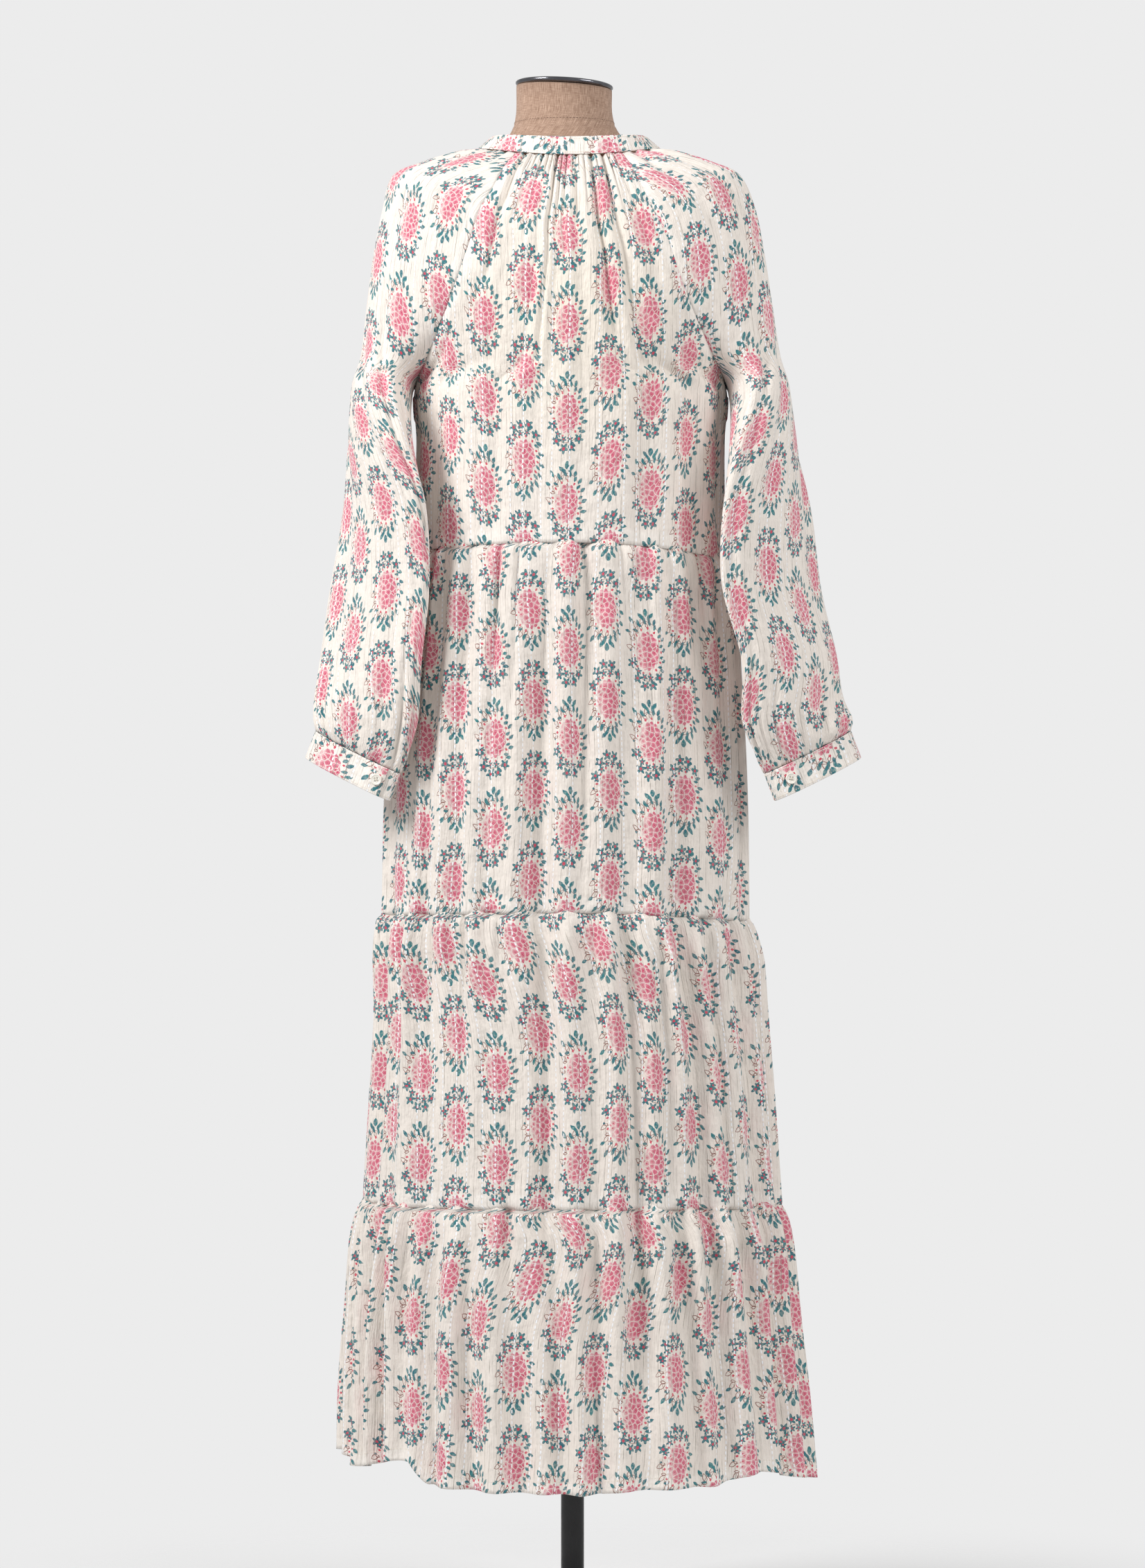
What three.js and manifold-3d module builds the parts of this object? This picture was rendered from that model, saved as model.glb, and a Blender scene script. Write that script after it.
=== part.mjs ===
// A tiered maxi dress with raglan sleeves, hanging on a limbless dress form with its stand.
// Millimetres, +Z up, origin on the floor under the pole. The back of the dress faces -Y.
import * as THREE from "three";
import Module from "manifold-3d";
import { mergeVertices } from "three/addons/utils/BufferGeometryUtils.js";

const wasm = await Module();
wasm.setup();

// Driving sizes of the cloth
const CLOTH_WALL = 1.5;
const BAND_WALL = 2.2;
const SEAM_GAP = 0.3;
const EDGE_SHARE = 0.7; // how much of the gap each of two meeting edges gives
const GATHER_STEPS = 4; // points round the cloth for each gather: valley, slope, ridge, slope

// The neck seam is an oval that lies on the shoulders and dips at the front
const NECK = { x: -3.5, y: -2, half: 94.5, back: 64, front: 78, backZ: 1525, sideZ: 1538, frontZ: 1482 };
const COLLAR = { height: 19.5, backLean: 4, sideLean: 15, frontLean: 7, columns: 32, out: 0.4 };
const FRONT_SLIT = { length: 165, top: 16, bottom: 4 };
const PLACKET = { width: 11, lift: 0.4, wall: 1.2 };
// From the neck's middle to where the raglan seams meet the collar
const RAGLAN_AT_COLLAR = { back: 55, front: 60 };

// Rings of the yoke from under the collar to the underarm. left and right are the sleeves' outer edges, and
// seam is the raglan seam's distance from the middle. pull draws the seam in, and wrap is the sleeve's half
// angle.
const YOKE = [
  {
    sideZ: 1532.5, left: -122, right: 113, backY: -86, backZ: 1503,
    frontY: 90, frontZ: 1460, seam: 66, pull: 0,
  },
  {
    sideZ: 1522, left: -158, right: 148, backY: -99, backZ: 1480,
    frontY: 106, frontZ: 1438, seam: 76, pull: 0,
  },
  {
    sideZ: 1509, left: -187, right: 175, backY: -107, backZ: 1452,
    frontY: 117, frontZ: 1414, seam: 89, pull: 0,
  },
  {
    sideZ: 1475, left: -197, right: 190, backY: -112, backZ: 1420,
    frontY: 124, frontZ: 1388, seam: 101, pull: 0,
  },
  {
    sideZ: 1430, left: -206, right: 199, backY: -114, backZ: 1382,
    frontY: 130, frontZ: 1356, seam: 114, pull: 0,
  },
  {
    sideZ: 1378, left: -213, right: 207, backY: -115, backZ: 1342,
    frontY: 134, frontZ: 1326, seam: 130, pull: 0.12, wrap: 82,
  },
  {
    sideZ: 1326, left: -219, right: 215, backY: -115, backZ: 1309,
    frontY: 135, frontZ: 1302, seam: 148, pull: 0.4, wrap: 126,
  },
];

// Rings of the bodice under the arms, down to the waist seam. z is the height at the back and front.
const BODICE = [
  { z: 1284, leftZ: 1288, rightZ: 1288, x: -2, half: 162, back: 115, front: 136 },
  { z: 1235, leftZ: 1236, rightZ: 1236, x: -2, half: 160, back: 116, front: 135 },
  { z: 1180, leftZ: 1180, rightZ: 1177, x: -3, half: 161, back: 117, front: 133 },
  { z: 1126, leftZ: 1121, rightZ: 1112, x: -3, half: 163, back: 118, front: 130 },
];

// The three gathered tiers. folds counts the gathers all round. top, mid and hem say how deep they are there.
const TIERS = [
  {
    name: "tier_1",
    folds: 26,
    top: 1.6,
    mid: 5,
    hem: 4,
    seed: 1,
    rings: [
      { z: 1126, leftZ: 1121, rightZ: 1112, x: -3, half: 163, back: 118, front: 130 },
      { z: 1105, leftZ: 1100, rightZ: 1092, x: -3, half: 167, back: 121, front: 133 },
      { z: 1032, leftZ: 1028, rightZ: 1022, x: -4, half: 175, back: 124, front: 136 },
      { z: 902, leftZ: 898, rightZ: 893, x: -7, half: 184, back: 128, front: 139 },
      { z: 751, leftZ: 746, rightZ: 740, x: -8, half: 187, back: 132, front: 142 },
    ],
  },
  {
    name: "tier_2",
    folds: 28,
    top: 1.6,
    mid: 6,
    hem: 5,
    seed: 2,
    rings: [
      { z: 751, leftZ: 746, rightZ: 740, x: -8, half: 187, back: 132, front: 142 },
      { z: 730, leftZ: 725, rightZ: 720, x: -7, half: 191, back: 136, front: 146 },
      { z: 670, leftZ: 667, rightZ: 662, x: -5, half: 197, back: 141, front: 150 },
      { z: 582, leftZ: 579, rightZ: 575, x: -2, half: 205, back: 147, front: 155 },
      { z: 453, leftZ: 450, rightZ: 446, x: -1, half: 213.5, back: 153, front: 160 },
    ],
  },
  {
    name: "tier_3",
    folds: 32,
    top: 1.8,
    mid: 7,
    hem: 8,
    seed: 3,
    rings: [
      { z: 453, leftZ: 450, rightZ: 446, x: -1, half: 213.5, back: 153, front: 160 },
      { z: 432, leftZ: 428, rightZ: 424, x: -1, half: 221, back: 159, front: 165 },
      { z: 374, leftZ: 372, rightZ: 369, x: 0, half: 229, back: 166, front: 170 },
      { z: 287, leftZ: 289, rightZ: 283, x: 2, half: 236, back: 172, front: 175 },
      { z: 170, leftZ: 182, rightZ: 164, x: 6, half: 242, back: 177, front: 179 },
    ],
  },
];

// The deep folds of the skirt at the back: where they lie from the left side (0) to the right (1), how wide
// and deep they are, and how far down the tiers each starts and ends, in tiers from the waist seam
const DEEP_FOLDS = [
  { at: 0.115, width: 0.03, depth: 9, from: 0.3, to: 3 },
  { at: 0.265, width: 0.034, depth: 8, from: 0.9, to: 3 },
  { at: 0.455, width: 0.03, depth: 13, from: 0.1, to: 3 },
  { at: 0.6, width: 0.026, depth: 8, from: 0.2, to: 2.6 },
  { at: 0.72, width: 0.03, depth: 9, from: 0.1, to: 3 },
  { at: 0.86, width: 0.034, depth: 10, from: 0.8, to: 3 },
];

// Where the hem hangs higher than its ring, from the left side (0) to the right (1), seen from the back
const HEM_LIFTS = [
  { at: 0, lift: 10 },
  { at: 0.1, lift: 2 },
  { at: 0.24, lift: 20 },
  { at: 0.28, lift: 0 },
  { at: 0.5, lift: 0 },
  { at: 0.6, lift: 5 },
  { at: 0.68, lift: 6 },
  { at: 0.78, lift: 18 },
  { at: 0.9, lift: 7 },
  { at: 1, lift: 0 },
];

// Sleeve rings under the arm: yaw turns the flattened tube from front-to-back towards side-to-side,
// long and short are its half axes and rise lifts its outer edge
const SLEEVES = {
  sleeve_left: [
    { x: -199, y: -26, z: 1232, long: 82, short: 29, yaw: 16, rise: 0 },
    { x: -193, y: -42, z: 1165, long: 84, short: 24, yaw: 29, rise: 0 },
    { x: -197, y: -49, z: 1085, long: 84, short: 21, yaw: 38, rise: 0 },
    { x: -206, y: -56, z: 1012, long: 76, short: 23, yaw: 42, rise: 4 },
    { x: -211, y: -64, z: 960, long: 66, short: 23, yaw: 52, rise: 12 },
    { x: -217, y: -69, z: 930, long: 56, short: 17, yaw: 64, rise: 20 },
    { x: -219, y: -70, z: 915, long: 52, short: 12, yaw: 68, rise: 22 },
  ],
  sleeve_right: [
    { x: 198, y: -25, z: 1232, long: 82, short: 30, yaw: 17, rise: 0 },
    { x: 200, y: -39, z: 1165, long: 84, short: 26, yaw: 31, rise: 0 },
    { x: 204, y: -48, z: 1085, long: 84, short: 24, yaw: 37, rise: 0 },
    { x: 222, y: -54, z: 1012, long: 76, short: 24, yaw: 39, rise: 4 },
    { x: 226, y: -62, z: 960, long: 66, short: 24, yaw: 50, rise: 12 },
    { x: 237, y: -68, z: 930, long: 57, short: 18, yaw: 64, rise: 20 },
    { x: 240, y: -69, z: 915, long: 53, short: 12, yaw: 68, rise: 22 },
  ],
};
const UNDERARM = { long: 80, short: 32, yaw: 4, clear: 1.3, lift: 2 };
const SLEEVE_COLUMNS = 24;
const SLEEVE_GATHER = [0, 0, 0, 0, 0, 0, 0, 0, 0, 0.6, 1, 1.4, 2.4, 3.6, 2.4, 0.8];

// The long folds of each sleeve: at runs round it from the front (-1) over the outer edge (0) to the back (1)
// on the left sleeve and the other way on the right one, and from and to are rows of rings
const SLEEVE_FOLDS = {
  sleeve_left: [
    { at: -0.55, width: 0.1, depth: 5, from: 8, to: 14 },
    { at: -0.18, width: 0.09, depth: 4, from: 5, to: 13 },
    { at: 0.2, width: 0.09, depth: 5, from: 6, to: 14 },
    { at: 0.46, width: 0.08, depth: 6, from: 5, to: 12 },
    { at: 0.7, width: 0.09, depth: 5, from: 8, to: 15 },
  ],
  sleeve_right: [
    { at: -0.68, width: 0.09, depth: 5, from: 8, to: 14 },
    { at: -0.42, width: 0.09, depth: 6, from: 5, to: 14 },
    { at: -0.16, width: 0.08, depth: 4, from: 6, to: 13 },
    { at: 0.22, width: 0.1, depth: 5, from: 5, to: 12 },
    { at: 0.6, width: 0.09, depth: 5, from: 8, to: 15 },
  ],
};
const YOKE_GATHER = [1, 2.6, 3.4, 3.2, 3, 2.8, 2.6, 2.6, 2.8, 2.8, 2.4, 1.4];
const YOKE_FOLDS = 9;

const CUFF = { height: 30, columns: 22, overlap: 0.07, outward: 0.38, out: 0.3 };
// Where the cuffs' overlap lies, on the side that faces back
const CUFF_START = { sleeve_left: 0.16, sleeve_right: -0.28 };
const BUTTON = { radius: 5.75, thick: 2.4, rim: 0.6, holeRadius: 0.8, holeSpread: 1.7 };

// The dress form, from its flat bottom to its neck. Each ring's height differs at the sides, back and front.
const FORM = [
  { x: 0, half: 150, back: 92, front: 92, sideZ: 872, backZ: 872, frontZ: 872 },
  { x: 0, half: 159, back: 101, front: 99, sideZ: 884, backZ: 884, frontZ: 884 },
  { x: 0, half: 167, back: 107, front: 103, sideZ: 945, backZ: 945, frontZ: 945 },
  { x: 0, half: 158, back: 101, front: 99, sideZ: 1010, backZ: 1010, frontZ: 1010 },
  { x: -1, half: 138, back: 88, front: 92, sideZ: 1070, backZ: 1070, frontZ: 1070 },
  { x: -1, half: 121, back: 78, front: 87, sideZ: 1125, backZ: 1125, frontZ: 1125 },
  { x: -2, half: 127, back: 84, front: 100, sideZ: 1190, backZ: 1185, frontZ: 1180 },
  { x: -3, half: 140, back: 92, front: 118, sideZ: 1260, backZ: 1245, frontZ: 1236 },
  { x: -4, half: 151, back: 98, front: 123, sideZ: 1335, backZ: 1305, frontZ: 1290 },
  { x: -5, half: 161, back: 102, front: 121, sideZ: 1405, backZ: 1360, frontZ: 1338 },
  { x: -6, half: 168, back: 103, front: 114, sideZ: 1460, backZ: 1405, frontZ: 1376 },
  { x: -6, half: 169, back: 100, front: 108, sideZ: 1494, backZ: 1440, frontZ: 1403 },
  { x: -6, half: 160, back: 95, front: 103, sideZ: 1509, backZ: 1462, frontZ: 1422 },
  { x: -5.5, half: 142, back: 89, front: 93, sideZ: 1520, backZ: 1482, frontZ: 1440 },
  { x: -5, half: 116, back: 78, front: 79, sideZ: 1528.2, backZ: 1504, frontZ: 1462 },
  { x: -5, half: 92, back: 63, front: 71, sideZ: 1535, backZ: 1520.5, frontZ: 1482 },
  { x: -6, half: 70, back: 54, front: 58, sideZ: 1542, backZ: 1534, frontZ: 1502 },
  { x: -8, half: 56, back: 50, front: 51, sideZ: 1556, backZ: 1550, frontZ: 1526 },
  { x: -8.6, half: 50, back: 47, front: 47, sideZ: 1575, backZ: 1573, frontZ: 1562 },
  { x: -8.6, half: 49.5, back: 47, front: 47, sideZ: 1602, backZ: 1602, frontZ: 1602 },
];
const FORM_SIDES = 26;
const NECK_TILT = 0.055; // how far the neck's top drops towards the right, per millimetre
const CAP = { radius: 50.5, lip: 2.2, height: 5, dome: 2.5 };
const POLE_RADIUS = 11.9;
const FLANGE = { radius: 34, thick: 6, neck: 17, drop: 40 };
const BASE = { radius: 180, thick: 9, rim: 5.4, bevel: 4, hub: 30, hubNeck: 18.6, hubTop: 18, hubHeight: 42 };
const ROUND_SIDES = { cap: 32, base: 32, small: 24 };

// Small helpers
const radians = THREE.MathUtils.degToRad;
const vec = (x, y, z) => new THREE.Vector3(x, y, z);
const mix = (a, b, t) => a + (b - a) * t;
const smooth = (t) => t * t * (3 - 2 * t);
const eased = (value, from, to) => smooth(THREE.MathUtils.clamp((value - from) / (to - from), 0, 1));

// A fixed number from 0 to 1 for each index and seed, so that the folds are uneven but never change
function chance(index, seed) {
  const s = Math.sin(index * 12.9898 + seed * 78.233) * 43758.5453;
  return s - Math.floor(s);
}

// A piece of an ellipse from a through middle to b. half is its half angle in radians.
function arcThrough(a, middle, b, half) {
  const side = b.clone().sub(a).divideScalar(2 * Math.sin(half));
  const out = middle.clone().sub(a.clone().add(b).divideScalar(2)).divideScalar(1 - Math.cos(half));
  return { centre: middle.clone().sub(out), out, side, half };
}

// The point of an arc at t, from -1 to 1
function onArc(arc, t) {
  return arc.centre
    .clone()
    .addScaledVector(arc.out, Math.cos(t * arc.half))
    .addScaledVector(arc.side, Math.sin(t * arc.half));
}

// A point of the neck seam. angle 0 is the right side, and it runs counter-clockwise seen from above.
function neckPoint(angle, lean = 0, lift = 0) {
  const [c, s] = [Math.cos(angle), Math.sin(angle)];
  const deep = s < 0 ? NECK.back : NECK.front;
  const z = mix(NECK.sideZ, s < 0 ? NECK.backZ : NECK.frontZ, s * s);
  return vec(NECK.x + (NECK.half - lean) * c, NECK.y + (deep - lean) * s, z + lift);
}
const NECK_BACK_SEAM = Math.acos(RAGLAN_AT_COLLAR.back / NECK.half);
const NECK_FRONT_SEAM = Math.acos(RAGLAN_AT_COLLAR.front / NECK.half);

// The four meeting points of a yoke ring: the middles and the raglan seams, all in 3-D
function yokeRing(row) {
  const x = (row.left + row.right) / 2;
  const half = (row.right - row.left) / 2;
  const share = row.seam / half;
  const depth = Math.sqrt(1 - share * share) * (1 - row.pull);
  const seamAt = (side, deep, z) =>
    vec(x + side * row.seam, deep * depth, mix(row.sideZ, z, 1 - share * share));
  return {
    left: vec(row.left, 0, row.sideZ),
    right: vec(row.right, 0, row.sideZ),
    back: vec(x, row.backY, row.backZ),
    front: vec(x, row.frontY, row.frontZ),
    backLeft: seamAt(-1, row.backY, row.backZ),
    backRight: seamAt(1, row.backY, row.backZ),
    frontLeft: seamAt(-1, row.frontY, row.frontZ),
    frontRight: seamAt(1, row.frontY, row.frontZ),
    sleeveHalf: row.wrap ? radians(row.wrap) : Math.acos(share),
    panelHalf: Math.asin(share),
  };
}

// A point of a body ring at an angle, with the side seams at 0 and pi
function bodyPoint(ring, angle, out = 0) {
  const [c, s] = [Math.cos(angle), Math.sin(angle)];
  const deep = s < 0 ? ring.back : ring.front;
  const z = mix(ring.z, c > 0 ? ring.rightZ : ring.leftZ, c * c);
  const flat = vec(c / ring.half, s / deep, 0).normalize();
  return vec(ring.x + ring.half * c + flat.x * out, deep * s + flat.y * out, z);
}

const NECK_ROWS = 1;
const YOKE_ROWS = NECK_ROWS + YOKE.length; // the first row under the arms
const RINGS = YOKE.map(yokeRing);

// A row of the back or front panel, at t from -1 to 1 counter-clockwise
function panelPoint(side, row, t) {
  const back = side === "back";
  if (row === 0) {
    const seam = back ? NECK_BACK_SEAM : NECK_FRONT_SEAM;
    const middle = back ? -Math.PI / 2 : Math.PI / 2;
    return neckPoint(middle + t * (Math.PI / 2 - seam));
  }
  if (row < YOKE_ROWS) {
    const r = RINGS[row - NECK_ROWS];
    const ends = back ? [r.backLeft, r.back, r.backRight] : [r.frontRight, r.front, r.frontLeft];
    return onArc(arcThrough(...ends, r.panelHalf), t);
  }
  const middle = back ? -Math.PI / 2 : Math.PI / 2;
  return bodyPoint(BODICE[row - YOKE_ROWS], middle + (t * Math.PI) / 2);
}

// A whole ring of a sleeve under the arm, from its half axes, its yaw and the rise of its outer edge
function sleeveArc(turn, ring, rise) {
  const yaw = radians(ring.yaw);
  const out = vec(turn * Math.cos(yaw), -Math.sin(yaw), 0).multiplyScalar(ring.short);
  const flat = Math.sqrt(ring.long * ring.long - rise * rise);
  const side = vec(Math.sin(yaw) * flat, turn * Math.cos(yaw) * flat, turn * rise);
  return { centre: vec(0, 0, 0), out, side, half: Math.PI };
}

// A row of a sleeve, at t from -1 to 1 counter-clockwise: the right one from back to front, the left one
// from front to back
function sleevePoint(name, row, t) {
  const right = name === "sleeve_right";
  const turn = right ? 1 : -1;
  if (row === 0) {
    const start = right ? -NECK_BACK_SEAM : Math.PI - NECK_FRONT_SEAM;
    const end = right ? NECK_FRONT_SEAM : Math.PI + NECK_BACK_SEAM;
    return neckPoint(mix(start, end, (t + 1) / 2));
  }
  if (row < YOKE_ROWS) {
    const r = RINGS[row - NECK_ROWS];
    const ends = right ? [r.backRight, r.right, r.frontRight] : [r.frontLeft, r.left, r.backLeft];
    return onArc(arcThrough(...ends, r.sleeveHalf), t);
  }
  if (row === YOKE_ROWS) {
    const arc = sleeveArc(turn, UNDERARM, 0);
    const under = bodyPoint(BODICE[0], right ? 0 : Math.PI);
    arc.centre.copy(under).add(arc.out).add(vec(turn * UNDERARM.clear, 0, 0));
    arc.out.z = UNDERARM.lift;
    return onArc(arc, t);
  }
  const s = SLEEVES[name][row - YOKE_ROWS - 1];
  const arc = sleeveArc(turn, s, s.rise);
  arc.centre.set(s.x, s.y, s.z);
  return onArc(arc, t);
}
const SLEEVE_ROWS = YOKE_ROWS + 1 + SLEEVES.sleeve_left.length;

// Widths of the gathers of a tier as shares of the round, uneven but fixed
function gatherEdges(count, seed) {
  const widths = Array.from({ length: count }, (_, i) => 0.75 + 0.5 * chance(i, seed));
  const half = count / 2;
  const edges = [0];
  for (let i = 0; i < count; i++) {
    const total = widths.slice(i < half ? 0 : half, i < half ? half : count).reduce((a, b) => a + b, 0);
    edges.push(edges[i] + widths[i] / total / 2);
  }
  return edges;
}

// How far a tier's gathers stand out at a share of the round (0 and 0.5 are the side seams), v down the tier
const AFTER_EDGE = 1e-9; // so that a point on an edge belongs to the gather after it
const GATHERED = 0.16; // the share of a tier's height over which its gathers stand at their fullest
const SETTLED = [0.1, 0.85]; // between these shares of the height the gathers turn into the hem's waves
function gathersAt(tier, edges, share, v) {
  const at = share - Math.floor(share);
  let i = edges.findIndex((e) => e > at + AFTER_EDGE) - 1;
  if (i < 0) i = tier.folds - 1;
  const phase = (at - edges[i]) / (edges[i + 1] - edges[i]);
  const wave = -Math.cos(phase * 2 * Math.PI);
  const lasting = chance(i, tier.seed + 10);
  const near = mix(tier.top, tier.mid, eased(v, 0, GATHERED)) * (0.55 + 0.9 * chance(i, tier.seed + 20));
  const far = tier.hem * (0.35 + 1.1 * lasting);
  return wave * mix(near, far, eased(v, ...SETTLED));
}

// How far a point of the round lies from the left side (0) to the right (1), seen from the back
const fromLeft = (at) => (at >= 0.5 ? (at - 0.5) * 2 : 1 - at * 2);

// How far the deep folds draw the skirt in, and the similar ones at the front. They fade in and out along it.
const FOLD_FADE = { in: 0.4, out: 0.12, past: 0.18 };
function deepFoldsAt(share, level) {
  const at = share - Math.floor(share);
  const along = fromLeft(at);
  let sum = 0;
  for (const f of DEEP_FOLDS) {
    const place = at >= 0.5 ? f.at : 1 - f.at;
    const begun = eased(level, f.from, f.from + FOLD_FADE.in);
    const ended = eased(level, f.to - FOLD_FADE.out, f.to + FOLD_FADE.past);
    sum -= f.depth * begun * (1 - ended) * Math.exp(-(((along - place) / f.width) ** 2));
  }
  return sum;
}

const EDGES = TIERS.map((t) => gatherEdges(t.folds, t.seed));

// The whole wave of tier k at v, where the last tier's wave carries on and fades under the seam
const CARRIED_ON = 0.5; // the share of a tier's height over which the wave above it fades
function tierWave(k, share, v) {
  const tier = TIERS[k];
  const own = gathersAt(tier, EDGES[k], share, v) + deepFoldsAt(share, k + v);
  if (k === 0) return own;
  return own + gathersAt(TIERS[k - 1], EDGES[k - 1], share, 1) * (1 - eased(v, 0, CARRIED_ON));
}

// Closed solids from grids of points. outer[j][i] runs down by j and counter-clockwise by i.
function wallSolid(outer, inner) {
  const rows = outer.length;
  const columns = outer[0].length;
  const positions = [];
  for (const p of [outer, inner].flat(2)) positions.push(p.x, p.y, p.z);
  const o = (j, i) => j * columns + i;
  const n = (j, i) => rows * columns + j * columns + i;
  const faces = [];
  const quad = (a, b, c, d) => faces.push(a, b, c, a, c, d);
  for (let j = 0; j < rows - 1; j++) {
    for (let i = 0; i < columns - 1; i++) {
      quad(o(j, i), o(j + 1, i), o(j + 1, i + 1), o(j, i + 1));
      quad(n(j, i), n(j, i + 1), n(j + 1, i + 1), n(j + 1, i));
    }
    quad(o(j, 0), n(j, 0), n(j + 1, 0), o(j + 1, 0));
    quad(o(j, columns - 1), o(j + 1, columns - 1), n(j + 1, columns - 1), n(j, columns - 1));
  }
  for (let i = 0; i < columns - 1; i++) {
    quad(o(0, i), o(0, i + 1), n(0, i + 1), n(0, i));
    quad(o(rows - 1, i), n(rows - 1, i), n(rows - 1, i + 1), o(rows - 1, i + 1));
  }
  const geometry = new THREE.BufferGeometry();
  geometry.setAttribute("position", new THREE.Float32BufferAttribute(positions, 3));
  geometry.setIndex(faces);
  return geometry;
}

// The outward normal at a grid point. before and after give the points past a row's ends.
function gridNormal(grid, j, i, before, after) {
  const row = grid[j];
  const left = i > 0 ? row[i - 1] : before(j);
  const right = i < row.length - 1 ? row[i + 1] : after(j);
  const up = grid[Math.max(j - 1, 0)][i];
  const down = grid[Math.min(j + 1, grid.length - 1)][i];
  return down.clone().sub(up).cross(right.clone().sub(left)).normalize();
}

// A sheet's grid moved along its normals, with its four edges drawn in by half the seam gap
function offsetGrid(grid, normals, distance) {
  const moved = grid.map((row, j) => row.map((p, i) => p.clone().addScaledVector(normals[j][i], distance)));
  const pull = (p, q) => p.add(q.clone().sub(p).setLength(SEAM_GAP * EDGE_SHARE));
  const last = grid.length - 1;
  for (const row of moved) {
    pull(row[0], row[1]);
    pull(row[row.length - 1], row[row.length - 2]);
  }
  moved[0].forEach((p, i) => {
    pull(p, moved[1][i]);
    pull(moved[last][i], moved[last - 1][i]);
  });
  return moved;
}

function normalsOf(grid, before, after) {
  return grid.map((row, j) => row.map((_, i) => gridNormal(grid, j, i, before, after)));
}

function clothWall(grid, normals, wall = CLOTH_WALL) {
  return wallSolid(offsetGrid(grid, normals, 0), offsetGrid(grid, normals, -wall));
}

// Materials
function finish(color, roughness, metalness = 0) {
  return new THREE.MeshStandardMaterial({ color, roughness, metalness });
}
const PRINTED_COTTON = finish(0xf0e6d2, 0.9);
const SHELL = finish(0xf4efe6, 0.3);
const LINEN = finish(0xc9a78d, 0.95);
const CHROME = finish(0xd8dade, 0.12, 1);
const BLACK_STEEL = finish(0x17181a, 0.45, 0.6);

const dress = new THREE.Group();
function add(name, geometry, material) {
  const mesh = new THREE.Mesh(geometry, material);
  mesh.name = name;
  dress.add(mesh);
  return mesh;
}

// Joins and cuts work on closed meshes whose equal points are one
const SAME_POINT = 1e-4;
function toManifold(geometry) {
  const bare = geometry.clone();
  for (const name of Object.keys(bare.attributes)) {
    if (name !== "position") bare.deleteAttribute(name);
  }
  const merged = mergeVertices(bare, SAME_POINT);
  const mesh = new wasm.Mesh({
    numProp: 3,
    vertProperties: merged.attributes.position.array,
    triVerts: new Uint32Array(merged.index.array),
  });
  return new wasm.Manifold(mesh);
}

function fromManifold(solid) {
  const mesh = solid.getMesh();
  const geometry = new THREE.BufferGeometry();
  geometry.setAttribute("position", new THREE.Float32BufferAttribute(mesh.vertProperties, 3));
  geometry.setIndex(Array.from(mesh.triVerts));
  return geometry;
}

// Grids of the yoke panels and sleeves
const PANEL_COLUMNS = YOKE_FOLDS * GATHER_STEPS;
const PANEL_ROWS = YOKE_ROWS + BODICE.length;

function panelGrid(side) {
  return Array.from({ length: PANEL_ROWS }, (_, j) =>
    Array.from({ length: PANEL_COLUMNS + 1 }, (_, i) => panelPoint(side, j, (2 * i) / PANEL_COLUMNS - 1)),
  );
}

function sleeveGrid(name) {
  const row = (j) =>
    Array.from({ length: SLEEVE_COLUMNS + 1 }, (_, i) => sleevePoint(name, j, (2 * i) / SLEEVE_COLUMNS - 1));
  return Array.from({ length: SLEEVE_ROWS }, (_, j) => row(j));
}

const PANELS = { back: panelGrid("back"), front: panelGrid("front") };
const SLEEVE_GRIDS = { sleeve_left: sleeveGrid("sleeve_left"), sleeve_right: sleeveGrid("sleeve_right") };
const LAST = { panel: PANEL_COLUMNS, sleeve: SLEEVE_COLUMNS };

// The neighbours past each raglan or side seam. Above the underarm a panel meets a sleeve, and below it the
// other panel.
function panelNormals(side) {
  const other = side === "back" ? "front" : "back";
  const names = side === "back" ? ["sleeve_left", "sleeve_right"] : ["sleeve_right", "sleeve_left"];
  const [first, second] = names.map((name) => SLEEVE_GRIDS[name]);
  const before = (j) => (j < YOKE_ROWS ? first[j][LAST.sleeve - 1] : PANELS[other][j][LAST.panel - 1]);
  const after = (j) => (j < YOKE_ROWS ? second[j][1] : PANELS[other][j][1]);
  return normalsOf(PANELS[side], before, after);
}

function sleeveNormals(name) {
  const grid = SLEEVE_GRIDS[name];
  const [first, second] = name === "sleeve_right" ? ["back", "front"] : ["front", "back"];
  const before = (j) => (j < YOKE_ROWS ? PANELS[first][j][LAST.panel - 1] : grid[j][LAST.sleeve - 1]);
  const after = (j) => (j < YOKE_ROWS ? PANELS[second][j][1] : grid[j][1]);
  return normalsOf(grid, before, after);
}

// The gathers of the yoke fade towards the raglan and side seams
const GATHER_SEEDS = { back: 5, front: 6 };
const GATHER_FADE = 0.75;
function gatherPanel(side) {
  const normals = panelNormals(side);
  return PANELS[side].map((row, j) =>
    row.map((p, i) => {
      const fold = Math.floor(i / GATHER_STEPS);
      const wave = -Math.cos(((i % GATHER_STEPS) / GATHER_STEPS) * 2 * Math.PI);
      const t = Math.abs((2 * i) / PANEL_COLUMNS - 1);
      const uneven = 0.6 + 0.8 * chance(fold, GATHER_SEEDS[side]);
      const depth = YOKE_GATHER[j] * uneven * (1 - smooth(t) * GATHER_FADE);
      const edge = i === 0 || i === PANEL_COLUMNS ? 0 : 1;
      return p.clone().addScaledVector(normals[j][i], wave * depth * edge);
    }),
  );
}

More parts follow.
